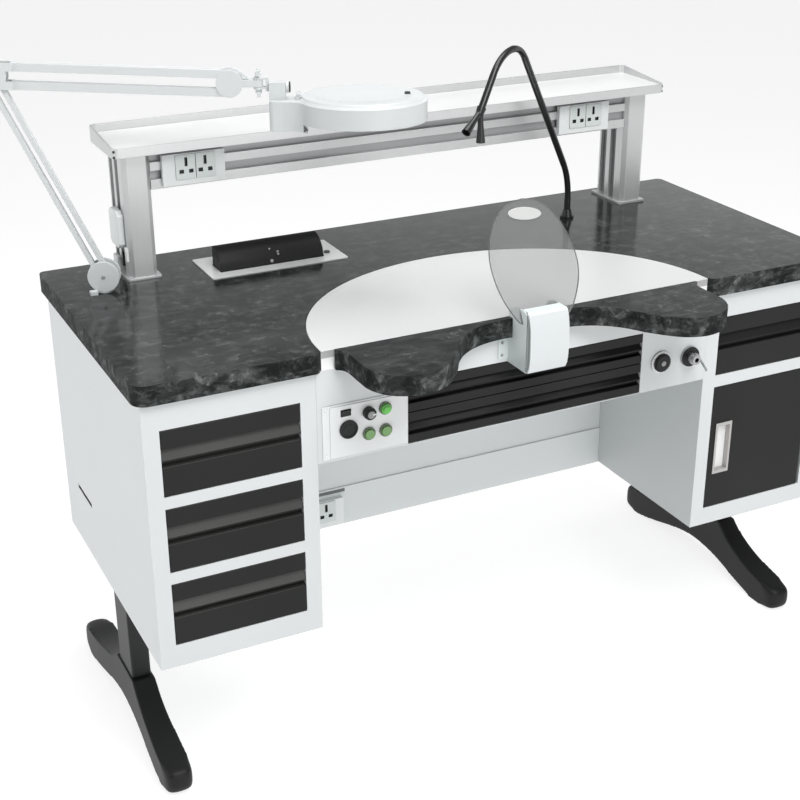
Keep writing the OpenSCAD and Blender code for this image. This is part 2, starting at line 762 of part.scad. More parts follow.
module suction_cover() {
    z0 = zt - 49;
    color([0.95, 0.96, 0.96]) frame() translate([sb_x, 0, 0]) along_x(-sb_hw, sb_hw, [
        [-62, z0], [-68, z0 + 2], [-73, z0 + 12], [-75.5, z0 + 28], [-76, z0 + 55], [-75, z0 + 80],
        [-72, z0 + 95], [-68, z0 + 106], [-62, z0 + 110], [-62, z0 + 104], [-66, z0 + 100],
        [-70, z0 + 90], [-72.5, z0 + 76], [-73, z0 + 55], [-72.5, z0 + 30], [-69, z0 + 12], [-66, z0 + 5],
        [-62, z0 + 4]]);
}

// Clear egg-shaped shield, leaning back, fuller low down on its right side
shield_left = smooth([[0, 210], [-22, 206], [-44, 194], [-62, 174], [-76, 145], [-82, 112], [-79, 76],
    [-69, 42], [-56, 16], [-48, 4], [-44, 1]], 4);
shield_right = smooth([[44, 1], [52, 6], [66, 24], [80, 54], [86, 84], [84, 112], [75, 144], [61, 173],
    [43, 194], [22, 206], [0, 210]], 4);

module shield() {
    color([0.75, 0.8, 0.8, 0.5]) frame() translate([sb_x + 5, shield_y, top_h]) rotate([90 - shield_tilt, 0, 0])
        translate([0, 0, -2]) linear_extrude(4)
            polygon(concat(shield_left, [for (i = [0:len(shield_right) - 2]) shield_right[i]]));
}

// Places a piece in the magnifier lamp's own frame
module lamp_frame() {
    frame() translate([lamp[0], lamp[1], 0]) rotate([0, 0, lamp_turn]) children();
}

// A round bar across the lamp's arms
module pin(p, r, y0, y1) {
    translate([p[0], y1, p[1]]) rotate([90, 0, 0]) cylinder(r = r, h = y1 - y0);
}

module lamp_base() {
    color([0.9, 0.91, 0.91]) lamp_frame() difference() {
        union() {
            translate([0, 0, top_h]) cylinder(r = 15, h = 1);
            translate([0, 0, zt + 2]) cylinder(r = 10, h = top_t - 2);
        }
        translate([0, 0, zt + 6]) cylinder(r = 5.05, h = top_t);
    }
}

module lamp_pivot() {
    color([0.9, 0.92, 0.92]) lamp_frame() union() {
        translate([0, 0, zt + 8]) cylinder(r = 5, h = top_t + 6);
        difference() {
            pin([0, shoulder_z], 28, -14, 14);
            block([-30, -8, shoulder_z - 16], [30, 8, shoulder_z + 30]);
        }
        pin([0, shoulder_z], 4, -8, 8);
    }
}

// Two parallel bars between round ends, drawn along X from one pin to the other
module arm(len, gap, bar, r0, r1, t) {
    for (s = [-1, 1]) block([8, -t / 2, s * gap / 2 - bar / 2], [len - 8, t / 2, s * gap / 2 + bar / 2]);
    pin([0, 0], r0, -t / 2, t / 2);
    pin([len, 0], r1, -t / 2, t / 2);
}

module lamp_lower_arm() {
    color([0.88, 0.9, 0.9]) lamp_frame() translate([0, 0, shoulder_z]) rotate([0, -arm_lean, 0])
        difference() {
            arm(lower_arm, 17, 8, 13, 15, 13);
            pin([0, 0], 4.05, -9, 9);
            pin([lower_arm, 0], 4.05, -9, 9);
        }
}

module lamp_upper_arm() {
    top = smooth([[-66, 21], [-60, 25], [-52, 26.5], [-42, 25.5], [-30, 20], [-19, 11], [-11, 6]], 4);
    color([0.88, 0.9, 0.9]) difference() {
        union() {
            lamp_frame() translate([elbow[0], 0, elbow[1]]) rotate([0, -arm_drop, 0]) union() {
                // Elbow cheeks and their pin
                pin([0, 0], elbow_r, 7, elbow_t / 2);
                pin([0, 0], elbow_r, -elbow_t / 2, -7);
                pin([0, 0], 4, -7, 7);
                for (s = [-1, 1]) block([18, 7, s * 15.5 - 7], [40, 11, s * 15.5 + 7]);
                for (s = [-1, 1]) block([18, -11, s * 15.5 - 7], [40, -7, s * 15.5 + 7]);
                // Bars and end housing
                for (s = [-1, 1]) block([36, -7, s * 15.5 - 7], [upper_arm, 7, s * 15.5 + 7]);
                pin([upper_arm, 0], 23, -9, 9);
            }
            // Level tongue for the bolt, and a strap from the housing down to it
            wrist_frame() union() {
                block([-bolt + 10, -8, -6], [0, 8, 6]);
                translate([0, 0, -6]) cylinder(r = 8, h = 12);
                rotate([90, 0, 0]) translate([0, 0, -3.5]) linear_extrude(7) polygon(concat(top,
                    smooth([[-11, 3], [-20, 8], [-32, 16], [-42, 20], [-54, 20], [-63, 17]], 4)));
            }
        }
        wrist_frame() translate([0, 0, -10]) cylinder(r = 3.05, h = 20);
    }
}

// Level frame at the bolt, with Z 0 at the height of the end housing's middle
bolt = 48.7;
module wrist_frame() {
    lamp_frame() translate([wrist[0] + bolt, 0, wrist[1]]) children();
}

module lamp_neck() {
    color([0.86, 0.88, 0.88]) wrist_frame() union() {
        // Bolt, fork and wing nuts
        translate([0, 0, -24]) cylinder(r = 3, h = 48);
        for (z = [-10, 6.5]) translate([0, 0, z]) cylinder(r = 8.5, h = 3.5);
        for (z = [-17, 10]) translate([0, 0, z]) cylinder(r = 5.5, h = 7);
        for (z = [14, -22]) block([-3, -12, z], [3, 12, z + 8]);
        for (z = [-10, 6.5]) block([0, -6, z], [17, 6, z + 3.5]);
        block([12, -6, pin_z - 6], [17, 6, 10]);
        // Pin that the head rolls on, with its nut
        translate([14, 0, pin_z]) rotate([0, 90, 0]) cylinder(r = 4, h = 38);
        translate([46.6, 0, pin_z]) rotate([0, 90, 0]) cylinder(r = 9.5, h = 5);
    }
}

// The head's own frame: X along the roll pin, Z up from the pin
pin_z = -7.6;
module head_frame() {
    wrist_frame() translate([0, 0, pin_z]) rotate([head_roll, 0, 0]) children();
}

hx = 176.6;
ring_z = -56;
ring_h = 38;
lid_x = hx - head_r + 1.4;
lid_z = ring_z + ring_h + 4.4;

module lamp_head() {
    color([0.9, 0.92, 0.92]) head_frame() difference() {
        union() {
            // Block on the roll pin
            block([17.6, -12, ring_z + ring_h - 3], [46, 12, 9]);
            // Box between the block and the ring, open underneath
            difference() {
                translate([0, 0, ring_z + ring_h - 52]) linear_extrude(50) polygon(concat([[72, 30]],
                    arc([26.6, 21], 9, 90, 180, 5), arc([26.6, -21], 9, 180, 270, 5), [[72, -30]]));
                block([21.5, -26, ring_z - 16], [63, 26, ring_z + ring_h - 4.5]);
            }
            // Ring with a ledge for the lens
            translate([hx, 0, ring_z]) rotate_extrude($fn = 96) polygon([[head_r - 2.5, 0], [head_r, 0],
                [head_r, ring_h - 4], [head_r - 4, ring_h], [65, ring_h], [65, 12], [61, 12], [61, 10],
                [65, 10], [65, 2], [67.5, 2], [67.5, ring_h - 2.5], [head_r - 5, ring_h - 2.5],
                [head_r - 2.5, ring_h - 5]]);
            // Hinge ears of the lid
            for (y = [-16, 10.4]) {
                rod_y(lid_x, lid_z, 4.2, y, y + 5.6);
                block([lid_x - 4.2, y, ring_z + ring_h - 3], [lid_x + 2.5, y + 5.6, lid_z]);
            }
        }
        // The ring's inside stays clear of the box
        translate([hx, 0, ring_z]) difference() {
            cylinder(r = head_r - 2.5, h = ring_h - 5);
            translate([0, 0, -1]) cylinder(r = 67.5, h = ring_h);
        }
        // Bores for the roll pin and the lid's pin
        translate([10, 0, 0]) rotate([0, 90, 0]) cylinder(r = 4.05, h = 40);
        rod_y(lid_x, lid_z, 2.05, -17, 17);
    }
}

module lamp_lens() {
    color([0.8, 0.9, 0.92, 0.5]) head_frame() translate([hx, 0, ring_z]) rotate_extrude($fn = 96)
        polygon(concat([[0, 12], [64.9, 12]], arc([0, -214.5], 238.5, 74.21, 90, 6)));
}

module lamp_lid() {
    color([0.93, 0.94, 0.94]) head_frame() union() {
        translate([hx, 0, ring_z + ring_h]) difference() {
            union() {
                cylinder(r1 = head_r - 5, r2 = head_r - 8, h = 4, $fn = 96);
                translate([0, 0, 4]) cylinder(r1 = head_r - 22, r2 = head_r - 30, h = 2.5, $fn = 96);
                // Finger tab
                translate([76, -14, 4]) cylinder(r = 5, h = 6);
            }
            translate([0, 0, -1]) cylinder(r = head_r - 26, h = 4, $fn = 96);
        }
        // Hinge barrel and pin
        rod_y(lid_x, lid_z, 4, -9.8, 9.8);
        rod_y(lid_x, lid_z, 2, -16, 16);
        block([lid_x, -9.8, lid_z - 4], [hx - head_r + 14, 9.8, lid_z - 1]);
    }
}

module gooseneck_base() {
    color([0.13, 0.14, 0.14]) frame() translate([gn[0], gn[1], 0]) union() {
        translate([0, 0, top_h]) cylinder(r = 14, h = 5);
        translate([0, 0, top_h + 5]) cylinder(r1 = 11, r2 = 8, h = 14);
        translate([0, 0, zt - 14]) cylinder(d = 12, h = top_t + 14);
        translate([0, 0, zt - 9]) cylinder(r = 13, h = 9, $fn = 6);
    }
}

// Gooseneck path in its own upright plane: arcs and straights that meet smoothly
ga = 54;
gr1 = 130;
gs1 = top_h + 42;
g1 = [gr1 * (1 - sin(ga)), gs1 + gr1 * cos(ga)];
g2 = g1 + 298 * [cos(ga), sin(ga)];
gr2 = 57;
g3 = g2 + gr2 * [sin(ga), 1 - cos(ga)];
gr3 = 85;
gb = 53;
g4 = g3 + gr3 * [sin(gb), cos(gb) - 1];
g5 = g4 + 66 * [cos(gb), -sin(gb)];

// Part of a ring in the gooseneck's plane, about c, from angle a0 turning by da
module bend(c, r, a0, da) {
    rotate([90, 0, 0]) translate([c[0], c[1], 0]) rotate([0, 0, a0]) rotate_extrude(angle = da, $fn = 48)
        translate([r, 0]) circle(r = neck_r - 0.3, $fn = 24);
}

// Round bar in the gooseneck's plane, from p at angle a above level
module bar(p, a, len, r0, r1) {
    translate([p[0], 0, p[1]]) rotate([0, 90 - a, 0]) cylinder(r1 = r0, r2 = r1, h = len);
}

module neck_frame() {
    frame() translate([gn[0], gn[1], 0]) rotate([0, 0, gn_turn]) children();
}

module gooseneck_tube() {
    color([0.12, 0.12, 0.12]) neck_frame() union() {
        bar([0, top_h + 19], 90, gs1 - top_h - 19, neck_r, neck_r);
        bend([gr1, gs1], gr1, 181, ga - 92);
        bar(g1, ga, 298, neck_r, neck_r);
        bend(g2 + gr2 * [sin(ga), -cos(ga)], gr2, 92 + ga, -ga - 2);
        bar(g3 - [2.5, 0], 0, 5, neck_r, neck_r);
        bend([g3[0], g3[1] - gr3], gr3, 90, -gb - 1.5);
        bar(g4, -gb, 66, neck_r, neck_r);
    }
}

// Splitter and two small spots
module gooseneck_spots() {
    color([0.12, 0.12, 0.12]) neck_frame() difference() {
        union() {
            bar(g5, -gb, 14, 8.5, 7.5);
            for (a = [-31, -92]) bar(g5 + 6 * [cos(gb), -sin(gb)], a, 30, 5, 5.5);
            for (a = [-31, -92]) bar(g5 + 6 * [cos(gb), -sin(gb)] + 26 * [cos(a), sin(a)], a, 32, 5.5, 8.5);
        }
        for (a = [-31, -92]) bar(g5 + 6 * [cos(gb), -sin(gb)] + 52 * [cos(a), sin(a)], a, 10, 6.5, 7);
    }
}

worktop();
work_plate();
armrest_board();
armrest_brackets();
centre_front();
centre_walls();
centre_floor();
control_plate();
button_bezels();
rocker_switch();
motor_socket();
speed_knob();
power_lamp();
start_button();
stop_button();
air_socket();
air_coupler();
coupler_lever();
centre_upper_front();
centre_upper_box();
centre_lower_front();
centre_lower_box();
left_cabinet();
left_runners();
left_drawer_top();
left_drawer_middle();
left_drawer_bottom();
right_cabinet();
right_runners();
right_drawer();
cabinet_door();
door_pull();
knee_panel();
cable_trunking();
knee_socket();
left_foot();
right_foot();
left_column();
right_column();
left_post();
right_post();
rear_rail();
shelf_frame();
shelf_panel();
left_socket();
right_socket();
side_box();
power_frame();
power_box();
release_button();
suction_housing();
suction_cover();
shield();
lamp_base();
lamp_pivot();
lamp_lower_arm();
lamp_upper_arm();
lamp_neck();
lamp_head();
lamp_lens();
lamp_lid();
gooseneck_base();
gooseneck_tube();
gooseneck_spots();
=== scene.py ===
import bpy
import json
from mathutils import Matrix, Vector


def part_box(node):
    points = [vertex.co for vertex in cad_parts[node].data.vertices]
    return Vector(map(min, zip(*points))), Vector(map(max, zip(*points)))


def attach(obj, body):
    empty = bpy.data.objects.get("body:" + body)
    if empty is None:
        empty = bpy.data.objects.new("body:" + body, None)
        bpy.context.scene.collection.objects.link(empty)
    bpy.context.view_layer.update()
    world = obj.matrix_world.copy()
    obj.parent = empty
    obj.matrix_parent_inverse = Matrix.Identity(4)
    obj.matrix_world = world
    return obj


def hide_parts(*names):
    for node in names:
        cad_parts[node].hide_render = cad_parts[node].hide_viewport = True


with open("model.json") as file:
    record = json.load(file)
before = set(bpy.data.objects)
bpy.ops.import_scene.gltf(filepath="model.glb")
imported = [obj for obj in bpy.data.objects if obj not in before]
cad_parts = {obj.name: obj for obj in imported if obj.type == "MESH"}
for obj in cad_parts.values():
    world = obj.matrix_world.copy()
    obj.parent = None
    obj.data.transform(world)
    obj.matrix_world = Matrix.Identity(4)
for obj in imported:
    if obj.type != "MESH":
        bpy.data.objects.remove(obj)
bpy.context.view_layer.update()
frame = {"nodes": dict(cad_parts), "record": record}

import json
import math

import bpy
import bmesh
from mathutils import Euler, Matrix, Vector

# Places on the bench are in millimetres from its middle, its cabinets' front and the floor
MM = 0.001
SLAB_BACK = 590.0
slab_low, slab_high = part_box("worktop")
BENCH = Vector(((slab_low.x + slab_high.x) / 2, slab_high.y, 0.0)) / MM - Vector((0.0, SLAB_BACK, 0.0))

# Edges that turn by more than CORNER are rounded. Faces that turn by less than SMOOTH_BELOW are shaded
# as one, and those within FLAT become one face. All three are in degrees.
CORNER = 28.0
SMOOTH_BELOW = 32.0
FLAT = 0.5

# Points nearer than this are one point
WELD = 0.01

# Towards the user, and how much of a face's normal has to point one way for it to face that way
FRONT = Vector((0.0, -1.0, 0.0))
FACING = 0.5

BEHAVIOUR = frame["record"]["behaviour"]
BODY_OF = {node: body for body, nodes in BEHAVIOUR["bodies"].items() for node in nodes}
SLOT_OF = {row["node"]: row["material_slot"] for row in frame["record"]["subparts"]}


def at(x, y, z):
    """A place on the bench as a point of the frame."""
    return (Vector((x, y, z)) + BENCH) * MM


def place_of(point):
    """A point of the frame as a place on the bench."""
    return point / MM - BENCH


def corners_of(node):
    """A node's lowest and highest corners at rest, as places on the bench."""
    return [place_of(corner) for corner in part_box(node)]


def middle_of(node):
    low, high = corners_of(node)
    return (low + high) / 2


def front_of(node, behind=0.0):
    """The middle of a node's front, or the place that far behind it."""
    middle = middle_of(node)
    return Vector((middle.x, corners_of(node)[0].y + behind, middle.z))


PIN = {joint["name"]: place_of(Vector(joint["pos_m"])) for joint in BEHAVIOUR["joints"] if "pos_m" in joint}


EVEN = (1.0, 1.0, 1.0)

# The brightest that paint and plastic get, and the depths of orange peel and of fine grain in metres
BRIGHTEST = 0.95
PEEL_DEPTH = 0.0004
GRAIN_DEPTH = 0.0002

# Sockets of a Mix node for colours: the two colours that go in, and the one that comes out
FIRST_COLOUR = 6
SECOND_COLOUR = 7
MIXED_COLOUR = 2


def grey(level):
    return (level, level, level)


def scaled(colour, factor, limit=1.0):
    """A darker or lighter shade of a colour."""
    return tuple(min(channel * factor, limit) for channel in colour)


class Value:
    """A number that changes over a surface. Sums and products add their own nodes."""

    def __init__(self, nodes, socket):
        self.nodes = nodes
        self.socket = socket

    def _with(self, operation, other):
        return self.nodes.node("ShaderNodeMath", {0: self, 1: other}, operation=operation)

    def __add__(self, other):
        return self._with("ADD", other)

    def __mul__(self, other):
        return self._with("MULTIPLY", other)

    __radd__ = __add__
    __rmul__ = __mul__


class Nodes:
    """The shader nodes of a finish or of the sky."""

    def __init__(self, tree):
        self.tree = tree

    def put(self, socket, value):
        """Links a value to a socket, or writes a constant there."""
        if isinstance(value, Value):
            self.tree.links.new(value.socket, socket)
        else:
            socket.default_value = value

    def node(self, kind, inputs, output=0, stops=(), **settings):
        """Adds a node, sets its settings, a ramp's stops and its sockets, and gives one of its outputs."""
        made = self.tree.nodes.new(kind)
        for name, value in settings.items():
            setattr(made, name, value)
        for number, (position, colour) in enumerate(stops):
            made.color_ramp.elements[number].position = position
            made.color_ramp.elements[number].color = (*colour, 1.0)
        for name, value in inputs.items():
            self.put(made.inputs[name], value)
        return Value(self, made.outputs[output])


class Finish(Nodes):
    """A painted, moulded or metal finish, built from nodes."""

    def __init__(self, name, colour, rough, metal=0.0):
        self.material = bpy.data.materials.new(name)
        self.material.use_nodes = True
        super().__init__(self.material.node_tree)
        self.shader = self.tree.nodes["Principled BSDF"]
        self.set("Base Color", (*colour, 1.0))
        self.set("Roughness", rough)
        self.set("Metallic", metal)
        self.places = None

    def set(self, name, value):
        self.put(self.shader.inputs[name], value)

    def place(self, stretch=EVEN):
        """Object coordinates, stretched for grain that runs along one axis."""
        if self.places is None:
            self.places = self.node("ShaderNodeTexCoord", {}, "Object")
        if stretch == EVEN:
            return self.places
        return self.node("ShaderNodeMapping", {"Vector": self.places, "Scale": stretch})

    def noise(self, scale, detail=3.0, rough=0.5, stretch=EVEN, distortion=0.0):
        return self.node("ShaderNodeTexNoise", {
            "Vector": self.place(stretch), "Scale": scale, "Detail": detail,
            "Roughness": rough, "Distortion": distortion})

    def cells(self, scale):
        """Distance from the middle of the nearest cell."""
        return self.node("ShaderNodeTexVoronoi", {"Vector": self.place(), "Scale": scale})

    def ramp(self, value, start, end):
        """A level between two stops, each a position and the level there."""
        stops = [(position, grey(level)) for position, level in (start, end)]
        return self.node("ShaderNodeValToRGB", {"Fac": value}, stops=stops)

    def mix(self, amount, first, second):
        """A colour between two others."""
        inputs = {"Factor": amount, FIRST_COLOUR: (*first, 1.0), SECOND_COLOUR: (*second, 1.0)}
        return self.node("ShaderNodeMix", inputs, MIXED_COLOUR, data_type="RGBA")

    def bump(self, height, strength, distance):
        inputs = {"Height": height, "Strength": strength, "Distance": distance}
        self.set("Normal", self.node("ShaderNodeBump", inputs))


def powder_coat(name, colour, rough=0.4, peel=0.12, tint=0.03, scale=420.0, gloss=0.5):
    """Sprayed and baked paint with a fine orange peel and a little unevenness."""
    coat = Finish(name, colour, rough)
    coat.set("Specular IOR Level", gloss)
    broad = coat.noise(3.0, 2.0)
    fine = coat.noise(scale, 2.0)
    patches = coat.ramp(broad, (0.35, 0.0), (0.65, 1.0))
    coat.set("Base Color", coat.mix(patches, scaled(colour, 1 - tint), scaled(colour, 1 + tint, BRIGHTEST)))
    coat.set("Roughness", rough - 0.05 + broad * 0.06 + fine * 0.05)
    coat.bump(fine, peel, PEEL_DEPTH)
    return coat


def brushed(name, colour, rough, stretch=EVEN, scale=900.0, depth=0.1, vary=0.06, metallic=1.0):
    """Metal with fine lines along one direction. A lower metallic value makes it a satin, half matt metal."""
    metal = Finish(name, colour, rough, metallic)
    lines = metal.noise(scale, 3.0, 0.6, stretch)
    broad = metal.noise(5.0, 2.0)
    metal.set("Base Color", metal.mix(lines, scaled(colour, 1 - vary), scaled(colour, 1 + vary)))
    metal.set("Roughness", rough - 0.06 + lines * 0.1 + broad * 0.06)
    metal.bump(lines, depth, GRAIN_DEPTH)
    return metal


def rolled(name, level, rough, metallic):
    """Sheet steel with fine lines along the bench."""
    return brushed(name, grey(level), rough, (0.02, 1.0, 1.0), 700.0, 0.05, 0.03, metallic)


def anodised(name, colour, rough, metallic):
    """Aluminium with upright draw lines."""
    return brushed(name, colour, rough, (1.0, 1.0, 0.03), 800.0, 0.06, 0.05, metallic)


def nickel(name, colour, rough):
    """Plated fittings with a faint upright grain."""
    return brushed(name, colour, rough, (1.0, 1.0, 0.1), depth=0.04)


def moulded(name, colour, rough, grain=0.08, scale=900.0, gloss=0.5):
    """Moulded plastic with a fine grain."""
    plastic = Finish(name, colour, rough)
    plastic.set("Specular IOR Level", gloss)
    fine = plastic.noise(scale, 2.0)
    broad = plastic.noise(14.0, 2.0)
    plastic.set("Base Color", plastic.mix(broad, scaled(colour, 0.94), scaled(colour, 1.05, BRIGHTEST)))
    plastic.set("Roughness", rough - 0.03 + fine * 0.06)
    plastic.bump(fine, grain, GRAIN_DEPTH)
    return plastic


STONE = (0.0075, 0.009, 0.0085)
CRYSTAL = (1.0, 1.06, 1.04)


def granite(name, rough, gloss, crystal, ground=1.0):
    """Black stone laminate with clouds, streaks and flakes. Crystal and ground are its light and dark."""
    stone = Finish(name, grey(0.02), rough)
    stone.set("Specular IOR Level", gloss)
    clouds = stone.ramp(stone.noise(20.0, 5.0, 0.62, distortion=0.8), (0.42, 0.0), (0.7, 1.0))
    flakes = stone.ramp(stone.cells(80.0), (0.0, 1.0), (0.4, 0.0))
    crystals = stone.ramp(stone.noise(48.0, 5.0, 0.7, distortion=0.5), (0.5, 0.0), (0.68, 1.0))
    streaks = stone.ramp(stone.noise(60.0, 4.0, 0.65, (0.35, 1.0, 1.0), 0.5), (0.5, 0.0), (0.72, 1.0))
    fine = stone.noise(380.0, 3.0, 0.7)
    light = clouds * 0.1 + crystals * 0.3 * (0.3 + clouds) + flakes * crystals * 0.35 + streaks * 0.2
    amount = stone.ramp(light * (0.6 + fine * 0.8), (0.0, 0.0), (0.85, 1.0))
    stone.set("Base Color", stone.mix(amount, scaled(STONE, ground), scaled(CRYSTAL, crystal)))
    stone.set("Roughness", rough + crystals * 0.05 + fine * 0.03)
    stone.bump(fine, 0.02, GRAIN_DEPTH)
    return stone


def clear(name, colour, alpha, rough):
    """Clear sheet, with faint smears in the gloss."""
    glass = Finish(name, colour, rough)
    glass.set("IOR", 1.49)
    glass.set("Roughness", rough + glass.noise(9.0, 3.0, 0.5) * 0.05)
    glass.set("Alpha", alpha)
    return glass


FINISH = {
    # Finishes of the record's material slots
    "granite": granite("dark_granite", 0.12, gloss=0.42, crystal=0.13),
    "steel_plate": rolled("brushed_steel_plate", 0.86, 0.38, metallic=0.55),
    "dark_steel": powder_coat("bracket_black", grey(0.03), 0.45),
    "white_steel": powder_coat("cabinet_white", (0.62, 0.645, 0.65), 0.36, peel=0.05, tint=0.015),
    "panel_plate": powder_coat("panel_white", (0.76, 0.78, 0.78), 0.3, peel=0.04, tint=0.01),
    "bright_metal": nickel("bright_nickel", (0.72, 0.73, 0.74), 0.24),
    "black_plastic": moulded("black_moulding", (0.011, 0.0115, 0.012), 0.36, gloss=0.28),
    "green_plastic": moulded("green_lens", (0.2, 0.38, 0.14), 0.26, grain=0.02),
    "black_steel": powder_coat("drawer_black", (0.0078, 0.008, 0.0078), 0.46, 0.1, 0.25, 500.0, 0.26),
    "runner_steel": brushed("zinc_runner", (0.55, 0.56, 0.57), 0.4, (1.0, 0.05, 1.0)),
    "trunking": powder_coat("trunking_white", (0.66, 0.69, 0.69), 0.4, peel=0.05, tint=0.015),
    "socket_plastic": moulded("socket_grey", (0.74, 0.77, 0.765), 0.34, grain=0.03),
    "leg_steel": powder_coat("leg_black", grey(0.0065), 0.48, 0.3, 0.25, 650.0, 0.28),
    "column_steel": powder_coat("column_black", (0.011, 0.0115, 0.012), 0.46, 0.3, 0.25, 650.0, 0.34),
    "aluminium": anodised("anodised_aluminium", (0.62, 0.63, 0.63), 0.34, metallic=0.6),
    "shelf_white": moulded("shelf_laminate", grey(0.66), 0.3, grain=0.02, scale=500.0),
    "grey_plastic": moulded("button_grey", (0.06, 0.062, 0.065), 0.35),
    "suction_grey": powder_coat("suction_grey", (0.66, 0.72, 0.71), 0.32, peel=0.05, tint=0.02),
    "suction_white": powder_coat("suction_white", (0.62, 0.65, 0.66), 0.26, peel=0.03, tint=0.01),
    "clear_shield": clear("clear_sheet", (0.27, 0.28, 0.275), alpha=0.3, rough=0.06),
    "lamp_metal": powder_coat("lamp_white", (0.58, 0.605, 0.605), 0.36, peel=0.03, tint=0.01),
    "lamp_plastic": moulded("lamp_head_white", (0.54, 0.565, 0.565), 0.36, grain=0.02),
    "lens_glass": clear("lens_glass", (0.72, 0.8, 0.82), alpha=0.3, rough=0.03),
    "gooseneck_black": moulded("gooseneck_black", (0.011, 0.011, 0.012), 0.3, grain=0.05),
    # Finishes of small places and fittings, and of painted shade and highlights
    "granite_edge": granite("dark_granite_edge", 0.5, gloss=0.03, crystal=0.3, ground=1.6),
    "lamp_green": moulded("lit_green", (0.15, 0.56, 0.1), 0.2, grain=0.02),
    # Painted shade for the sockets' pin holes, and the dark colour of the lamp lid's tab
    "hole_shade_and_dark_tab": moulded("pin_hole_painted_shade_and_dark_tab", (0.035, 0.042, 0.04), 0.5),
    # Dark joint lines and seams, and the painted shadow strip on the trunking
    "line_and_shadow_grey": moulded("joint_line_and_painted_shadow_grey", (0.12, 0.13, 0.13), 0.45),
    # Painted shade: a darker copy of the aluminium for the floors of the rail's grooves
    "groove_shade": anodised("rail_groove_painted_shade", (0.4, 0.405, 0.41), 0.45, metallic=0.5),
    # Painted shade: a darker copy of the aluminium for the floors of the posts' slots
    "slot_shade": anodised("post_slot_painted_shade", (0.34, 0.34, 0.345), 0.5, metallic=0.4),
    "sheet_edge": clear("sheet_edge", (0.07, 0.075, 0.07), alpha=0.95, rough=0.08),
    "frame_bright": brushed("polished_frame", (0.9, 0.905, 0.905), 0.3, (0.05, 1.0, 1.0), 800.0,
                            depth=0.03, vary=0.02, metallic=0.4),
    # White print, and a painted highlight strip on the left post
    "white_mark_and_highlight": moulded("mark_and_painted_highlight_white", grey(0.8), 0.4, grain=0.02),
    "box_black": moulded("box_black", grey(0.008), 0.5, grain=0.05, gloss=0.25),
    # Painted shade: the cabinets' white made darker for the walls that face the knees
    "knee_wall_painted_shade": powder_coat("cabinet_knee_wall_painted_shade", (0.52, 0.545, 0.55), 0.42, peel=0.05, tint=0.015),
    "screw_dark": brushed("screw_black", grey(0.07), 0.35),
    "socket_module": moulded("socket_module_grey", (0.62, 0.67, 0.655), 0.34, grain=0.03),
    # Painted shade: a dark grey for the gap beside the lamp head's block
    "notch_shade": moulded("notch_shade", (0.09, 0.095, 0.1), 0.5),
    "badge_white": moulded("badge_white", (0.5, 0.505, 0.5), 0.5, grain=0.02),
    "bezel_olive": moulded("bezel_olive", (0.15, 0.19, 0.12), 0.35, grain=0.05),
    "cap_grey": moulded("cap_grey", grey(0.3), 0.4, grain=0.05),
    # Painted shade: a darker copy of the plate's rolled steel for its front lip
    "lip_painted_shade": rolled("lip_steel_painted_shade", 0.42, 0.4, metallic=0.4),
    "satin_nickel": nickel("satin_nickel", (0.42, 0.425, 0.43), 0.3),
    "pull_frame": brushed("pull_frame", (0.46, 0.45, 0.44), 0.42, (1.0, 1.0, 0.03), 800.0,
                          depth=0.05, vary=0.04, metallic=0.5),
    # Painted highlight: a lighter black for the slopes above the drawers' grips
    "grip_slope_painted_highlight": powder_coat("drawer_slope_painted_highlight", (0.036, 0.036, 0.034), 0.42, 0.1, 0.3, 500.0),
}


def only(piece):
    """Selects one piece and nothing else."""
    bpy.ops.object.select_all(action="DESELECT")
    piece.select_set(True)
    bpy.context.view_layer.objects.active = piece


def edit(piece):
    """Opens one piece in edit mode."""
    only(piece)
    bpy.ops.object.mode_set(mode="EDIT")


def done():
    """Closes edit mode."""
    bpy.ops.object.mode_set(mode="OBJECT")


def take_all():
    """In edit mode, selects the whole mesh."""
    bpy.ops.mesh.select_all(action="SELECT")


def modified(piece, kind, **settings):
    """Adds a modifier to a piece and applies it."""
    only(piece)
    bpy.ops.object.modifier_add(type=kind)
    modifier = piece.modifiers[-1]
    for name, value in settings.items():
        setattr(modifier, name, value)
    bpy.ops.object.modifier_apply(modifier=modifier.name)


def smooth(piece):
    """Smooth shading on roundings, with large flat faces kept flat."""
    only(piece)
    bpy.ops.object.shade_smooth_by_angle(angle=math.radians(SMOOTH_BELOW))
    modified(piece, "WEIGHTED_NORMAL", keep_sharp=True, weight=100)


def turns_out(edge):
    """True for an outward edge between two faces that turns by more than CORNER."""
    if len(edge.link_faces) != 2 or not edge.is_convex:
        return False
    return math.degrees(edge.calc_face_angle(0.0)) >= CORNER


def passes(edge, test):
    """Asks a test about the middle of an edge and its direction."""
    start, end = (place_of(vertex.co) for vertex in edge.verts)
    return test((start + end) / 2, (end - start).normalized())


def choose_edges(piece, test):
    """In edit mode, selects the corners of a piece that pass a test, or all of them without one."""
    bpy.ops.mesh.select_all(action="DESELECT")
    bpy.ops.mesh.select_mode(type="EDGE")
    mesh = bmesh.from_edit_mesh(piece.data)
    chosen = [edge for edge in mesh.edges if turns_out(edge) and (test is None or passes(edge, test))]
    for edge in chosen:
        edge.select = True
    bmesh.update_edit_mesh(piece.data)
    return bool(chosen)


def round_edges(piece, width, segments=2, test=None):
    edit(piece)
    if choose_edges(piece, test):
        bpy.ops.mesh.bevel(offset=width * MM, segments=segments, affect="EDGES", clamp_overlap=True)
    done()


def dress(piece, node, slot=None, finish=None):
    """Gives a piece a finish, its slot's unless another is named, and lets it ride with the body that holds
    the node.
    """
    slot = slot or SLOT_OF[node]
    piece.data.materials.clear()
    piece.data.materials.append(FINISH[finish or slot].material)
    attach(piece, BODY_OF[node])


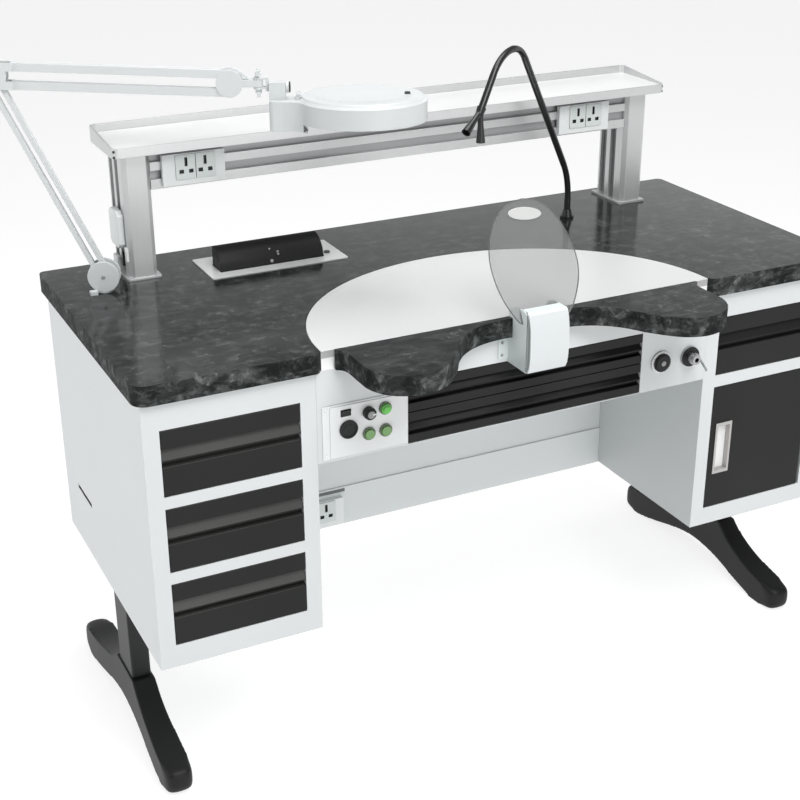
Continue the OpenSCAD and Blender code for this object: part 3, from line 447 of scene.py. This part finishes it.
def tint(piece, finish, test):
    """Paints the faces of a piece that pass the test with a second finish."""
    piece.data.materials.append(FINISH[finish].material)
    index = len(piece.data.materials) - 1
    for face in piece.data.polygons:
        if test(place_of(face.center), face.normal):
            face.material_index = index


def cleaned(node, name):
    """A copy of a CAD solid with its loose triangles joined into whole faces."""
    piece = frame["nodes"][node].copy()
    piece.data = frame["nodes"][node].data.copy()
    for key in list(piece.keys()):
        del piece[key]
    piece.parent = None
    piece.name = name
    piece.data.name = name
    piece.data.materials.clear()
    bpy.context.scene.collection.objects.link(piece)
    edit(piece)
    take_all()
    bpy.ops.mesh.remove_doubles(threshold=WELD * MM)
    bpy.ops.mesh.customdata_custom_splitnormals_clear()
    take_all()
    bpy.ops.mesh.dissolve_limited(angle_limit=math.radians(FLAT))
    done()
    return piece


def rounded_copy(node, name, width, wide=None):
    """A CAD solid with softened edges. A wide rounding is a radius, its steps and a test, and comes first."""
    piece = cleaned(node, name)
    if wide:
        round_edges(piece, *wide)
    if width:
        round_edges(piece, width)
    smooth(piece)
    dress(piece, node)
    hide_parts(node)
    return piece


def settle(name):
    """Names a new primitive and puts its place into its mesh."""
    piece = bpy.context.active_object
    piece.name = name
    piece.data.name = name
    bpy.ops.object.transform_apply(location=True, rotation=True, scale=True)
    return piece


def plate(name, low, high, edge=0.3):
    """A flat plate between two corners, with softened edges."""
    low, high = Vector(low), Vector(high)
    bpy.ops.object.select_all(action="DESELECT")
    bpy.ops.mesh.primitive_cube_add(size=1.0, location=at(*((low + high) / 2)), scale=(high - low) * MM)
    piece = settle(name)
    round_edges(piece, edge)
    smooth(piece)
    return piece


def turned(name, centre, axis, rings, sides=32):
    """A turned part. The rings are pairs of distance along the axis and radius, from one end to the other."""
    axis = Vector(axis).normalized()
    place, radius = rings[0]
    spin = axis.to_track_quat("Z", "Y").to_euler()
    bpy.ops.object.select_all(action="DESELECT")
    bpy.ops.mesh.primitive_circle_add(vertices=sides, radius=radius * MM, fill_type="NGON",
                                      location=at(*(Vector(centre) + axis * place)), rotation=spin)
    piece = settle(name)
    edit(piece)
    take_all()
    for step, wide in rings[1:]:
        middle = at(*(Vector(centre) + axis * step))
        bpy.ops.mesh.extrude_region_move(TRANSFORM_OT_translate={"value": axis * ((step - place) * MM)})
        bpy.ops.transform.resize(value=(wide / radius,) * 3, center_override=middle)
        place, radius = step, wide
    take_all()
    bpy.ops.mesh.normals_make_consistent(inside=False)
    done()
    smooth(piece)
    return piece


def stud(name, centre, axis, heights, radius, tip, sides):
    """A round head with a chamfer. The heights are its foot, its shoulder and its face."""
    foot, shoulder, face = heights
    return turned(name, centre, axis, [(foot, radius), (shoulder, radius), (face, tip)], sides)


def drawn(name, outline, out, edge):
    """A flat outline of places on the bench, drawn out along a vector, with softened edges."""
    bpy.ops.object.select_all(action="DESELECT")
    bpy.ops.mesh.primitive_circle_add(vertices=len(outline), radius=0.01, fill_type="NGON",
                                      location=at(*outline[0]))
    piece = settle(name)
    for vertex, point in zip(piece.data.vertices, outline):
        vertex.co = at(*point)
    edit(piece)
    take_all()
    bpy.ops.mesh.extrude_region_move(TRANSFORM_OT_translate={"value": Vector(out) * MM})
    take_all()
    bpy.ops.mesh.normals_make_consistent(inside=False)
    done()
    round_edges(piece, edge)
    smooth(piece)
    return piece


def join(pieces, name):
    """Joins pieces of one finish into one object."""
    bpy.ops.object.select_all(action="DESELECT")
    for piece in pieces:
        piece.select_set(True)
    bpy.context.view_layer.objects.active = pieces[0]
    bpy.ops.object.join()
    pieces[0].name = name
    pieces[0].data.name = name
    return pieces[0]


for node, solid in frame["nodes"].items():
    solid.data.materials.clear()
    solid.data.materials.append(FINISH[SLOT_OF[node]].material)

# Worktop and arm rest board: thick boards with full round outer edges, duller at their sides. The
# worktop's outer edges lie beyond the rim's limits, and its cut-out for the work plate within them.
BOARD_ROUND = 15.0
BOARD_STEPS = 6
BOARD_EDGE = 0.8
RIM_X = 668.0
RIM_Y = (3.9, 560.0)
REST_Y = -3.0
LEVEL = 0.2
EDGE_BELOW = 0.8


def on_rim(place, run):
    inside = abs(place.x) <= RIM_X and RIM_Y[0] <= place.y <= RIM_Y[1]
    return abs(run.z) < LEVEL and not inside


def on_rest(place, run):
    return abs(run.z) < LEVEL and place.y < REST_Y


slab = rounded_copy("worktop", "worktop_slab", BOARD_EDGE, (BOARD_ROUND, BOARD_STEPS, on_rim))
rest = rounded_copy("armrest_board", "armrest", BOARD_EDGE, (BOARD_ROUND, BOARD_STEPS, on_rest))
for board in (slab, rest):
    tint(board, "granite_edge", lambda place, normal: normal.z < EDGE_BELOW)
rounded_copy("work_plate", "steel_plate", BOARD_EDGE)

# How wide the edges of each solid are rounded
SOFT_EDGES = {
    "armrest_brackets": 0.6, "centre_front": 0.4, "centre_walls": 0.4, "centre_floor": 0.4,
    "control_plate": 0.5, "button_bezels": 0.5, "rocker_switch": 0.4, "motor_socket": 0.8,
    "speed_knob": 0.8, "power_lamp": 0.8, "start_button": 0.8, "stop_button": 0.8,
    "air_socket": 0.7, "air_coupler": 0.7, "coupler_lever": 0.4,
    "centre_upper_front": 0.5, "centre_upper_box": 0.4, "centre_lower_front": 0.5, "centre_lower_box": 0.4,
    "left_cabinet": 0.6, "left_drawer_top": 0.6, "left_drawer_middle": 0.6, "left_drawer_bottom": 0.6,
    "right_cabinet": 0.6, "right_drawer": 0.6, "cabinet_door": 0.8, "door_pull": 0.8,
    "knee_panel": 0.5, "cable_trunking": 0.6, "knee_socket": 0.12, "left_socket": 0.12, "right_socket": 0.12,
    "left_column": 0.8, "right_column": 0.8, "left_post": 0.7, "right_post": 0.7, "rear_rail": 0.6,
    "shelf_frame": 1.0, "shelf_panel": 0.8, "side_box": 2.0,
    "power_frame": 0.4, "power_box": 1.2, "release_button": 0.5,
    "suction_housing": 0.4, "suction_cover": 0.6, "shield": 0.8,
    "lamp_base": 0.8, "lamp_pivot": 1.5, "lamp_lower_arm": 1.2, "lamp_upper_arm": 1.2, "lamp_neck": 0.7,
    "lamp_head": 0.8, "lamp_lens": 0.2, "lamp_lid": 0.8,
    "gooseneck_base": 0.6, "gooseneck_tube": 0.0, "gooseneck_spots": 0.6,
}
finished = {node: rounded_copy(node, node + "_finished", width) for node, width in SOFT_EDGES.items()}

# Feet: cast shapes with soft edges. Their ends, from FOOT_FRONT forwards and from FOOT_BACK backwards,
# are smoothed round, which sets in over END_RUN.
FOOT_VOXEL = 2.6
FOOT_FRONT = 54.0
FOOT_BACK = 520.0
END_RUN = 28.0
FOOT_PASSES = 2
END_PASSES = 110


def share(distance, full):
    """From 0 at no distance to 1 at the full one."""
    return max(0.0, min(1.0, distance / full))


for node in ("left_foot", "right_foot"):
    foot = cleaned(node, node + "_finished")
    modified(foot, "REMESH", mode="VOXEL", voxel_size=FOOT_VOXEL * MM)
    ends = foot.vertex_groups.new(name="ends")
    for vertex in foot.data.vertices:
        y = place_of(vertex.co).y
        ends.add([vertex.index], share(FOOT_FRONT - y, END_RUN) + share(y - FOOT_BACK, END_RUN), "REPLACE")
    modified(foot, "SMOOTH", factor=0.5, iterations=FOOT_PASSES)
    modified(foot, "SMOOTH", factor=0.6, iterations=END_PASSES, vertex_group="ends")
    only(foot)
    bpy.ops.object.shade_smooth()
    dress(foot, node)
    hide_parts(node)

# Double sockets, forwards from their backs: floor of the pin holes, face of the plate, face of the
# modules. The modules' middle lies right of and above the plate's.
HOLE_FLOOR = 6.0
SOCKET_FACE = 10.0
MODULE_FACE = 11.5
MODULE_SHIFT = Vector((3.0, 0.0, 4.0))
MODULE_HALF = Vector((38.0, 0.0, 22.5))


def finish_socket(node):
    """Painted shade in the pin holes, grey modules, and dark joint lines round them."""
    back = corners_of(node)[1].y
    mid = middle_of(node) + MODULE_SHIFT

    # Painted shade: the walls and floors of the pin holes
    def in_hole(place, normal):
        sunk = back - MODULE_FACE + 0.3 < place.y < back - HOLE_FLOOR + 0.6
        return sunk and abs(place.y - back + SOCKET_FACE) > 0.3

    def on_module(place, normal):
        return place.y < back - MODULE_FACE + 0.5 and normal.y < -FACING

    def on_joint(place, normal):
        off_x, off_z = abs(place.x - mid.x) - MODULE_HALF.x, abs(place.z - mid.z) - MODULE_HALF.z
        on_side = abs(normal.y) < FACING and back - MODULE_FACE - 0.1 < place.y < back - SOCKET_FACE + 0.1
        return on_side and min(abs(off_x), abs(off_z)) < 0.6

    tint(finished[node], "hole_shade_and_dark_tab", in_hole)
    tint(finished[node], "socket_module", on_module)
    tint(finished[node], "line_and_shadow_grey", on_joint)


# Other places with a second finish, most of them painted shade or highlight: how far the grips reach
# behind the drawers' faces, where the rail's groove floors lie behind its face, how far the posts' slot
# floors lie from their middles, how far the pull's recess lies behind its face, and how thick a
# cabinet's knee wall is at most
GRIP_REACH = 18.0
RAIL_GROOVE = (8.0, 10.0)
POST_SLOT = (17.0, 19.0)
PULL_RECESS = 9.0
KNEE_WALL = 1.5
CABINET_IN = corners_of("right_cabinet")[0].x


def paint_grip_highlight(node):
    """Painted highlight: a lighter black on the up-facing slope above the grip, where light from above falls.
    """
    front = corners_of(node)[0].y
    tint(finished[node], "grip_slope_painted_highlight",
         lambda place, normal: normal.z > 0.2 and normal.y < -0.15 and place.y < front + GRIP_REACH)


def shade_rail_grooves():
    """Painted shade: darker floors of the rail's grooves."""
    front = corners_of("rear_rail")[0].y
    floor_from, floor_to = (front + depth for depth in RAIL_GROOVE)
    tint(finished["rear_rail"], "groove_shade",
         lambda place, normal: normal.y < -FACING and floor_from < place.y < floor_to)


def shade_post_slots(node):
    """Painted shade: darker floors of the slots in a post's sides."""
    mid = middle_of(node)
    tint(finished[node], "slot_shade",
         lambda place, normal: abs(normal.x) > 0.9 and POST_SLOT[0] < abs(place.x - mid.x) < POST_SLOT[1])


def finish_pull():
    """White floor of the door's pull."""
    front = corners_of("door_pull")[0].y
    tint(finished["door_pull"], "white_mark_and_highlight",
         lambda place, normal: place.y > front + PULL_RECESS and normal.y < -FACING)


def paint_knee_wall_shade(node, side):
    """Painted shade: a darker white on the cabinet wall that faces the knees, where less light reaches."""
    tint(finished[node], "knee_wall_painted_shade",
         lambda place, normal: normal.x * side > 0.9 and place.x * side < KNEE_WALL - CABINET_IN)


for node in ("left_socket", "right_socket", "knee_socket"):
    finish_socket(node)
for node in ("left_drawer_top", "left_drawer_middle", "left_drawer_bottom"):
    paint_grip_highlight(node)
shade_rail_grooves()
for node in ("left_post", "right_post"):
    shade_post_slots(node)
tint(finished["shield"], "sheet_edge", lambda place, normal: abs(normal.y) < 0.8)
for node, finish in (("power_lamp", "lamp_green"), ("power_frame", "frame_bright"),
                     ("power_box", "box_black"), ("button_bezels", "bezel_olive"),
                     ("air_coupler", "satin_nickel"), ("coupler_lever", "satin_nickel"),
                     ("door_pull", "pull_frame")):
    finished[node].data.materials[0] = FINISH[finish].material
finish_pull()
for node, side in (("left_cabinet", 1), ("right_cabinet", -1)):
    paint_knee_wall_shade(node, side)


def spoke(degrees, length):
    """A step in a plane that faces the user, by its angle from the bench's right and its length."""
    angle = math.radians(degrees)
    return Vector((length * math.cos(angle), 0.0, length * math.sin(angle)))


def flutes(name, node, count, radius, half, reach):
    """Black bars round a knob or collar, joined into one piece. The reach is from and to behind its front."""
    bars = []
    for number in range(count):
        near, far = (front_of(node, behind) + spoke(360.0 / count * number, radius) for behind in reach)
        bars.append(plate("bar", near - Vector((half, 0.0, half)), far + Vector((half, 0.0, half))))
    dress(join(bars, name), node, "black_plastic")


# Round heads: distances of foot, shoulder and face, radius, radius of the tip, and number of sides
KNOB_CAP = ((0.0, 0.9, 1.4), 6.6, 5.8, 24)
CONTACT = ((0.0, 0.9, 1.2), 1.1, 0.7, 10)
PANEL_SCREW = ((0.0, 0.5, 1.0), 2.4, 1.5, 14)
SHELF_SCREW = ((-0.4, 0.6, 1.0), 2.5, 1.7, 14)
FLANGE_SCREW = ((-0.4, 0.7, 1.3), 2.8, 1.9, 16)
BADGE = ((0.0, 0.5, 0.8), 11.0, 10.6, 48)
ROLL_NUT = ((0.0, 2.0, 3.2), 9.6, 8.4, 6)
SHOULDER_SCREW = ((0.0, 1.0, 1.8), 3.6, 2.6, 20)

# Turned parts: pairs of distance and radius
LAMP_FACETS = ((0.0, 6.0), (0.8, 5.4), (1.3, 3.5), (1.5, 1.0))
INLET_RING = ((0.0, 21.5), (0.8, 21.5), (1.2, 20.9), (1.2, 16.2))
INLET_MOUTH = ((0.0, 5.2), (1.2, 5.0), (1.6, 4.4))
OUTLET_DISC = ((0.0, 19.2), (1.6, 19.2), (2.4, 18.2), (2.4, 12.0))


def control_panel():
    """Cap, pointer and flutes of the knob, contacts of the motor socket, the lamp's facets, two screws."""
    cap = stud("knob_cap", front_of("speed_knob", 0.4), FRONT, *KNOB_CAP)
    dress(cap, "speed_knob", "grey_plastic", "cap_grey")
    knob = front_of("speed_knob", -1.6)
    pointer = plate("knob_pointer", knob + Vector((2.2, 0.0, -1.0)), knob + Vector((8.6, 1.0, 1.6)))
    dress(pointer, "speed_knob", "panel_plate", "white_mark_and_highlight")
    flutes("knob_ribs", "speed_knob", 18, 10.2, 0.7, (2.6, 12.8))

    cup = front_of("motor_socket", 1.4)
    contacts = [stud("contact", cup + spoke(degrees, 7.5), FRONT, *CONTACT)
                for degrees in (54, 90, 126, 162, 198)]
    dress(join(contacts, "motor_contacts"), "motor_socket", "bright_metal", "screw_dark")
    facets = turned("lamp_facets", front_of("power_lamp", 0.2), FRONT, LAMP_FACETS, 12)
    dress(facets, "power_lamp", "green_plastic", "lamp_green")

    low, high = corners_of("control_plate")
    inset, sunk = 6.0, 2.0
    screws = [stud("screw", (low.x + inset, low.y + sunk, z), FRONT, *PANEL_SCREW)
              for z in (low.z + inset, high.z - inset)]
    dress(join(screws, "panel_screws"), "control_plate", "bright_metal")


def air_fittings():
    """Light ring, mouth and knurled collar on the left, and a dark disc on the right."""
    ring = turned("inlet_ring", front_of("air_socket", 7.6), FRONT, INLET_RING)
    dress(ring, "air_socket", "bright_metal", "panel_plate")
    mouth = turned("inlet_mouth", front_of("air_socket", 0.1), FRONT, INLET_MOUTH)
    dress(mouth, "air_socket", "bright_metal", "cap_grey")
    flutes("inlet_knurl", "air_socket", 24, 16.0, 1.4, (1.2, 6.8))
    disc = turned("outlet_disc", front_of("air_coupler", 20.1), FRONT, OUTLET_DISC)
    dress(disc, "air_coupler", "black_plastic")


def knee_socket_shadow_strip():
    """A dark strip in the trunking's front near the left cabinet, by the knee socket: painted shadow of the
    ledge there.
    """
    corner = Vector((-CABINET_IN, corners_of("cable_trunking")[0].y, corners_of("left_cabinet")[0].z))
    slot = plate("knee_socket_shadow_strip", corner + Vector((82.0, -0.6, 70.0)), corner + Vector((191.0, 0.2, 77.0)))
    dress(slot, "cable_trunking", "black_plastic", "line_and_shadow_grey")


def shelf_screws():
    """Two screws in each of the shelf's cut front corners."""
    low, high = corners_of("shelf_frame")
    cut = 3.6
    screws = []
    for side, x in ((-1, low.x), (1, high.x)):
        for rise in (2.6, 12.6):
            corner = (x - side * cut, low.y + cut, low.z + rise)
            screws.append(stud("screw", corner, (side, -1, 0), *SHELF_SCREW))
    dress(join(screws, "shelf_screws"), "shelf_frame", "black_plastic", "screw_dark")


def plate_lip():
    """Steel lip along the front of the work plate, in a darker grey than the plate: painted shade on the
    folded edge.
    """
    low, high = corners_of("work_plate")
    lip = plate("plate_lip", (low.x + 0.5, low.y - 0.2, high.z - 13.5),
                (high.x - 0.5, low.y + 0.8, high.z - 0.8))
    dress(lip, "work_plate", "steel_plate", "lip_painted_shade")


# The blank oval plate: its middle on the shield, how far it stands before that, how far the shield leans
# back, how much wider than high the plate is, and how far it is tipped in the shield's plane
BADGE_PLACE = Vector((8.0, 30.8, 966.8))
BADGE_GAP = 2.1
SHIELD_LEAN = math.radians(25.0)
BADGE_STRETCH = 2.9
BADGE_TIP = math.radians(-7.0)


def shield_badge():
    """A blank oval plate near the shield's top."""
    face = Vector((0.0, -math.cos(SHIELD_LEAN), math.sin(SHIELD_LEAN)))
    centre = BADGE_PLACE + face * BADGE_GAP
    middle = at(*centre)
    badge = stud("shield_badge", centre, face, *BADGE)
    edit(badge)
    take_all()
    bpy.ops.transform.resize(value=(BADGE_STRETCH, 1.0, 1.0), center_override=middle)
    done()
    tip = Matrix.Rotation(BADGE_TIP, 4, face)
    for vertex in badge.data.vertices:
        vertex.co = middle + tip @ (vertex.co - middle)
    smooth(badge)
    dress(badge, "shield", "panel_plate", "badge_white")


def suction_box():
    """Top lip, side seams, and the screws of its flanges."""
    low, high = corners_of("suction_housing")
    x = (low.x + high.x) / 2
    lip = plate("suction_lip", (x - 36.0, low.y - 1.0, high.z - 1.0),
                (x + 36.0, low.y + 18.5, high.z + 1.0), 0.5)
    dress(lip, "suction_housing")
    seams = []
    for seam in (x - 38.0, x + 38.0):
        seams.append(plate("seam", (seam - 0.35, low.y - 0.5, low.z + 3.0),
                           (seam + 0.35, low.y + 0.4, high.z - 3.0), 0.2))
    dress(join(seams, "suction_seams"), "suction_housing", "suction_grey", "line_and_shadow_grey")
    screws = [stud("screw", (x + side * 50.0, high.y - 2.0, low.z + rise), FRONT, *FLANGE_SCREW)
              for side in (-1, 1) for rise in (14.0, 37.0)]
    dress(join(screws, "flange_screws"), "suction_housing", "black_plastic", "cap_grey")


def post_shade_and_highlight_strips():
    """Dark and light strips on the left post, beside the cable box: painted shade at the lower end of a slot,
    and a painted highlight on the post's edge.
    """
    low, high = corners_of("side_box")
    corner = Vector((high.x, low.y, low.z))
    # Painted shade: a black strip where the post's slot lies in shade
    dark = plate("post_groove_shade_strip", corner + Vector((-3.5, 14.5, 12.0)), corner + Vector((0.4, 21.5, 39.0)), 0.8)
    dress(dark, "left_post", "black_plastic")
    # Painted highlight: a white strip on the post's edge
    light = plate("post_edge_painted_highlight", corner + Vector((-4.0, -14.0, 28.0)), corner + Vector((0.4, -5.0, 52.0)), 0.8)
    dress(light, "left_post", "aluminium", "white_mark_and_highlight")


# Two contacts, a plug and a rivet on the power box's round front: place along the bench, angle up from the
# front in degrees, distance from the box's pin, height, radius, and radius of the tip
BOX_STUDS = (
    (-281.95, 29.3, 42.9, 1.6, 2.2, 1.5),
    (-282.0, 35.8, 43.4, 1.6, 2.2, 1.5),
    (-296.7, 15.0, 42.9, 1.6, 3.2, 2.2),
    (-296.5, 45.7, 42.9, 1.4, 1.8, 1.2),
)


def box_contacts():
    pin = PIN["power_unit_turn"]
    studs = []
    for x, degrees, reach, height, radius, tip in BOX_STUDS:
        angle = math.radians(degrees)
        out = Vector((0.0, -math.cos(angle), math.sin(angle)))
        place = Vector((x, pin.y, pin.z)) + out * reach
        studs.append(stud("contact", place, out, (-0.5, 1.0, height), radius, tip, 16))
    dress(join(studs, "box_contacts"), "power_box", "black_plastic", "cap_grey")


# How the lamp's head is turned on the bench and rolled on its pin
HEAD_POSE = Matrix.Rotation(math.radians(-24.0), 3, "Z") @ Matrix.Rotation(math.radians(-2.6), 3, "X")


def head_step(x, y, z):
    """A step in the lamp head's own frame, X along its roll pin and Z up, as a step on the bench."""
    return HEAD_POSE @ Vector((x, y, z))


def at_head(x, y, z):
    """A point of the lamp head's own frame, counted from its roll pin, as a place on the bench."""
    return PIN["head_roll"] + head_step(x, y, z)


# The magnifier lamp's small parts, in its head's frame: half outline of the fairings between block and
# ring, their foot and height, corners of the dark triangle of painted shade in the gap behind them and its
# depth, and the lid's tab
FAIRING = ((38, 29.6), (58, 33), (70, 40), (77, 48.5), (83, 57.5), (80, 51.0), (74, 38), (72, 29.4))
FAIRING_FOOT = -69.5
FAIRING_HEIGHT = 49.0
GAP_SHADE_CORNERS = ((75.5, -45.6, -56), (75.5, -45.6, -69), (84.5, -61.0, -62.5))
GAP_SHADE_DEPTH = 1.6
NUT_PLACE = 51.0
TAB = (252.6, -14.0, -12.0)
TAB_RADIUS = 6.5
SHOULDER_REACH = 13.8


def lamp_head_parts():
    """Fairings beside the block, a dark triangle of painted shade in the gap behind them, and the lid's dark
    tab.
    """
    fairings = []
    for side in (-1, 1):
        foot = [at_head(x, y * side, FAIRING_FOOT) for x, y in FAIRING]
        fairings.append(drawn("fairing", foot, head_step(0, 0, FAIRING_HEIGHT), 0.8))
    dress(join(fairings, "head_fairings"), "lamp_head")
    gap_shade = drawn("head_gap_painted_shade", [at_head(*corner) for corner in GAP_SHADE_CORNERS], head_step(0, -GAP_SHADE_DEPTH, 0), 0.2)
    dress(gap_shade, "lamp_head", "black_plastic", "notch_shade")
    tab = at_head(*TAB)
    tint(finished["lamp_lid"], "hole_shade_and_dark_tab",
         lambda place, normal: (place.xy - tab.xy).length < TAB_RADIUS and place.z > tab.z)


def lamp_joint_parts():
    """Lug of the base, nut of the roll pin, and screw of the shoulder."""
    foot = PIN["lamp_swivel"]
    low, high = Vector((-32.3, -19.7, -10.2)), Vector((-18.3, -8.7, -2.0))
    dress(plate("base_lug", foot + low, foot + high, 1.2), "lamp_base")
    nut = stud("roll_nut", at_head(NUT_PLACE, 0, 0), head_step(1, 0, 0), *ROLL_NUT)
    dress(nut, "lamp_neck", "black_plastic")
    across = head_step(0, -1, 0)
    across.z = 0.0
    across.normalize()
    screw = stud("shoulder_screw", PIN["shoulder_tilt"] + across * SHOULDER_REACH, across, *SHOULDER_SCREW)
    dress(screw, "lamp_pivot", "black_plastic", "cap_grey")


control_panel()
air_fittings()
knee_socket_shadow_strip()
shelf_screws()
plate_lip()
shield_badge()
suction_box()
post_shade_and_highlight_strips()
box_contacts()
lamp_head_parts()
lamp_joint_parts()

# The photograph's camera: its place on the bench, its turn in degrees, and its lens and sensor
CAMERA_PLACE = (-1227.05, -1997.6, 1693.67)
CAMERA_TURN = (65.62, 0.22, -26.34)
LENS = 65.305
SENSOR = 36.0

# A floor that glows, just below the feet, in metres
FLOOR_SIZE = 40.0
FLOOR_DROP = 0.0005
FLOOR_GLOW = 0.8

# Sky levels at two heights, from the horizon up, how bright the side before the bench is, and the depths
# between which the sky goes from that to its full level
SKY_STOPS = (0.26, 0.37)
SKY_LEVELS = (1.0, 0.22)
SKY_COLOUR = (0.985, 0.995, 1.0)
FRONT_LEVEL = 0.3
DIM_FROM = -0.5
DIM_TO = 0.1


def set_camera():
    camera = bpy.data.objects.new("camera", bpy.data.cameras.new("camera"))
    bpy.context.scene.collection.objects.link(camera)
    camera.location = at(*CAMERA_PLACE)
    camera.rotation_euler = Euler([math.radians(angle) for angle in CAMERA_TURN], "XYZ")
    camera.data.lens = LENS
    camera.data.sensor_width = SENSOR
    bpy.context.scene.camera = camera


def lay_floor():
    paint = Finish("studio_floor", grey(0.3), 0.8)
    paint.set("Base Color", paint.mix(paint.noise(0.6, 2.0), grey(0.295), grey(0.305)))
    paint.set("Emission Color", (1.0, 1.0, 1.0, 1.0))
    paint.set("Emission Strength", FLOOR_GLOW)
    bpy.ops.object.select_all(action="DESELECT")
    bpy.ops.mesh.primitive_plane_add(size=FLOOR_SIZE, location=(0.0, 0.0, -FLOOR_DROP))
    floor = bpy.context.active_object
    floor.name = "floor"
    floor.data.materials.append(paint.material)


def light_sky():
    """Soft light from all round: a bright wall behind, dimmer overhead and in front."""
    world = bpy.data.worlds.new("studio")
    world.use_nodes = True
    sky = Nodes(world.node_tree)
    direction = sky.node("ShaderNodeTexCoord", {}, "Generated")
    height = sky.node("ShaderNodeSeparateXYZ", {"Vector": direction}, "Z")
    depth = sky.node("ShaderNodeSeparateXYZ", {"Vector": direction}, "Y")
    stops = [(position, scaled(SKY_COLOUR, level)) for position, level in zip(SKY_STOPS, SKY_LEVELS)]
    background = world.node_tree.nodes["Background"]
    sky.put(background.inputs["Color"], sky.node("ShaderNodeValToRGB", {"Fac": height}, stops=stops))
    sky.put(background.inputs["Strength"], sky.node("ShaderNodeMapRange", {
        "Value": depth, "From Min": DIM_FROM, "From Max": DIM_TO, "To Min": FRONT_LEVEL, "To Max": 1.0}))
    bpy.context.scene.world = world


def area_light(name, place, aim, size, power):
    light = bpy.data.lights.new(name, "AREA")
    light.shape = "RECTANGLE"
    light.size, light.size_y = size
    light.energy = power
    holder = bpy.data.objects.new(name, light)
    bpy.context.scene.collection.objects.link(holder)
    holder.location = place
    holder.rotation_euler = (Vector(aim) - Vector(place)).to_track_quat("-Z", "Y").to_euler()


set_camera()
lay_floor()
light_sky()
bpy.context.scene.view_settings.view_transform = "Standard"

# Lamps of the studio: place and aim in metres, size in metres, power in watts
area_light("key", (0.2, -2.6, 4.2), (0.0, 0.0, 0.6), (2.2, 2.2), 140.0)
area_light("front", (0.3, -4.6, 1.1), (0.0, 0.0, 0.5), (3.0, 1.4), 42.0)
area_light("fill", (-3.2, 0.2, 2.2), (0.0, 0.0, 0.5), (1.6, 1.6), 28.0)
area_light("top", (0.2, 0.2, 3.4), (0.0, 0.0, 0.8), (2.5, 1.6), 55.0)
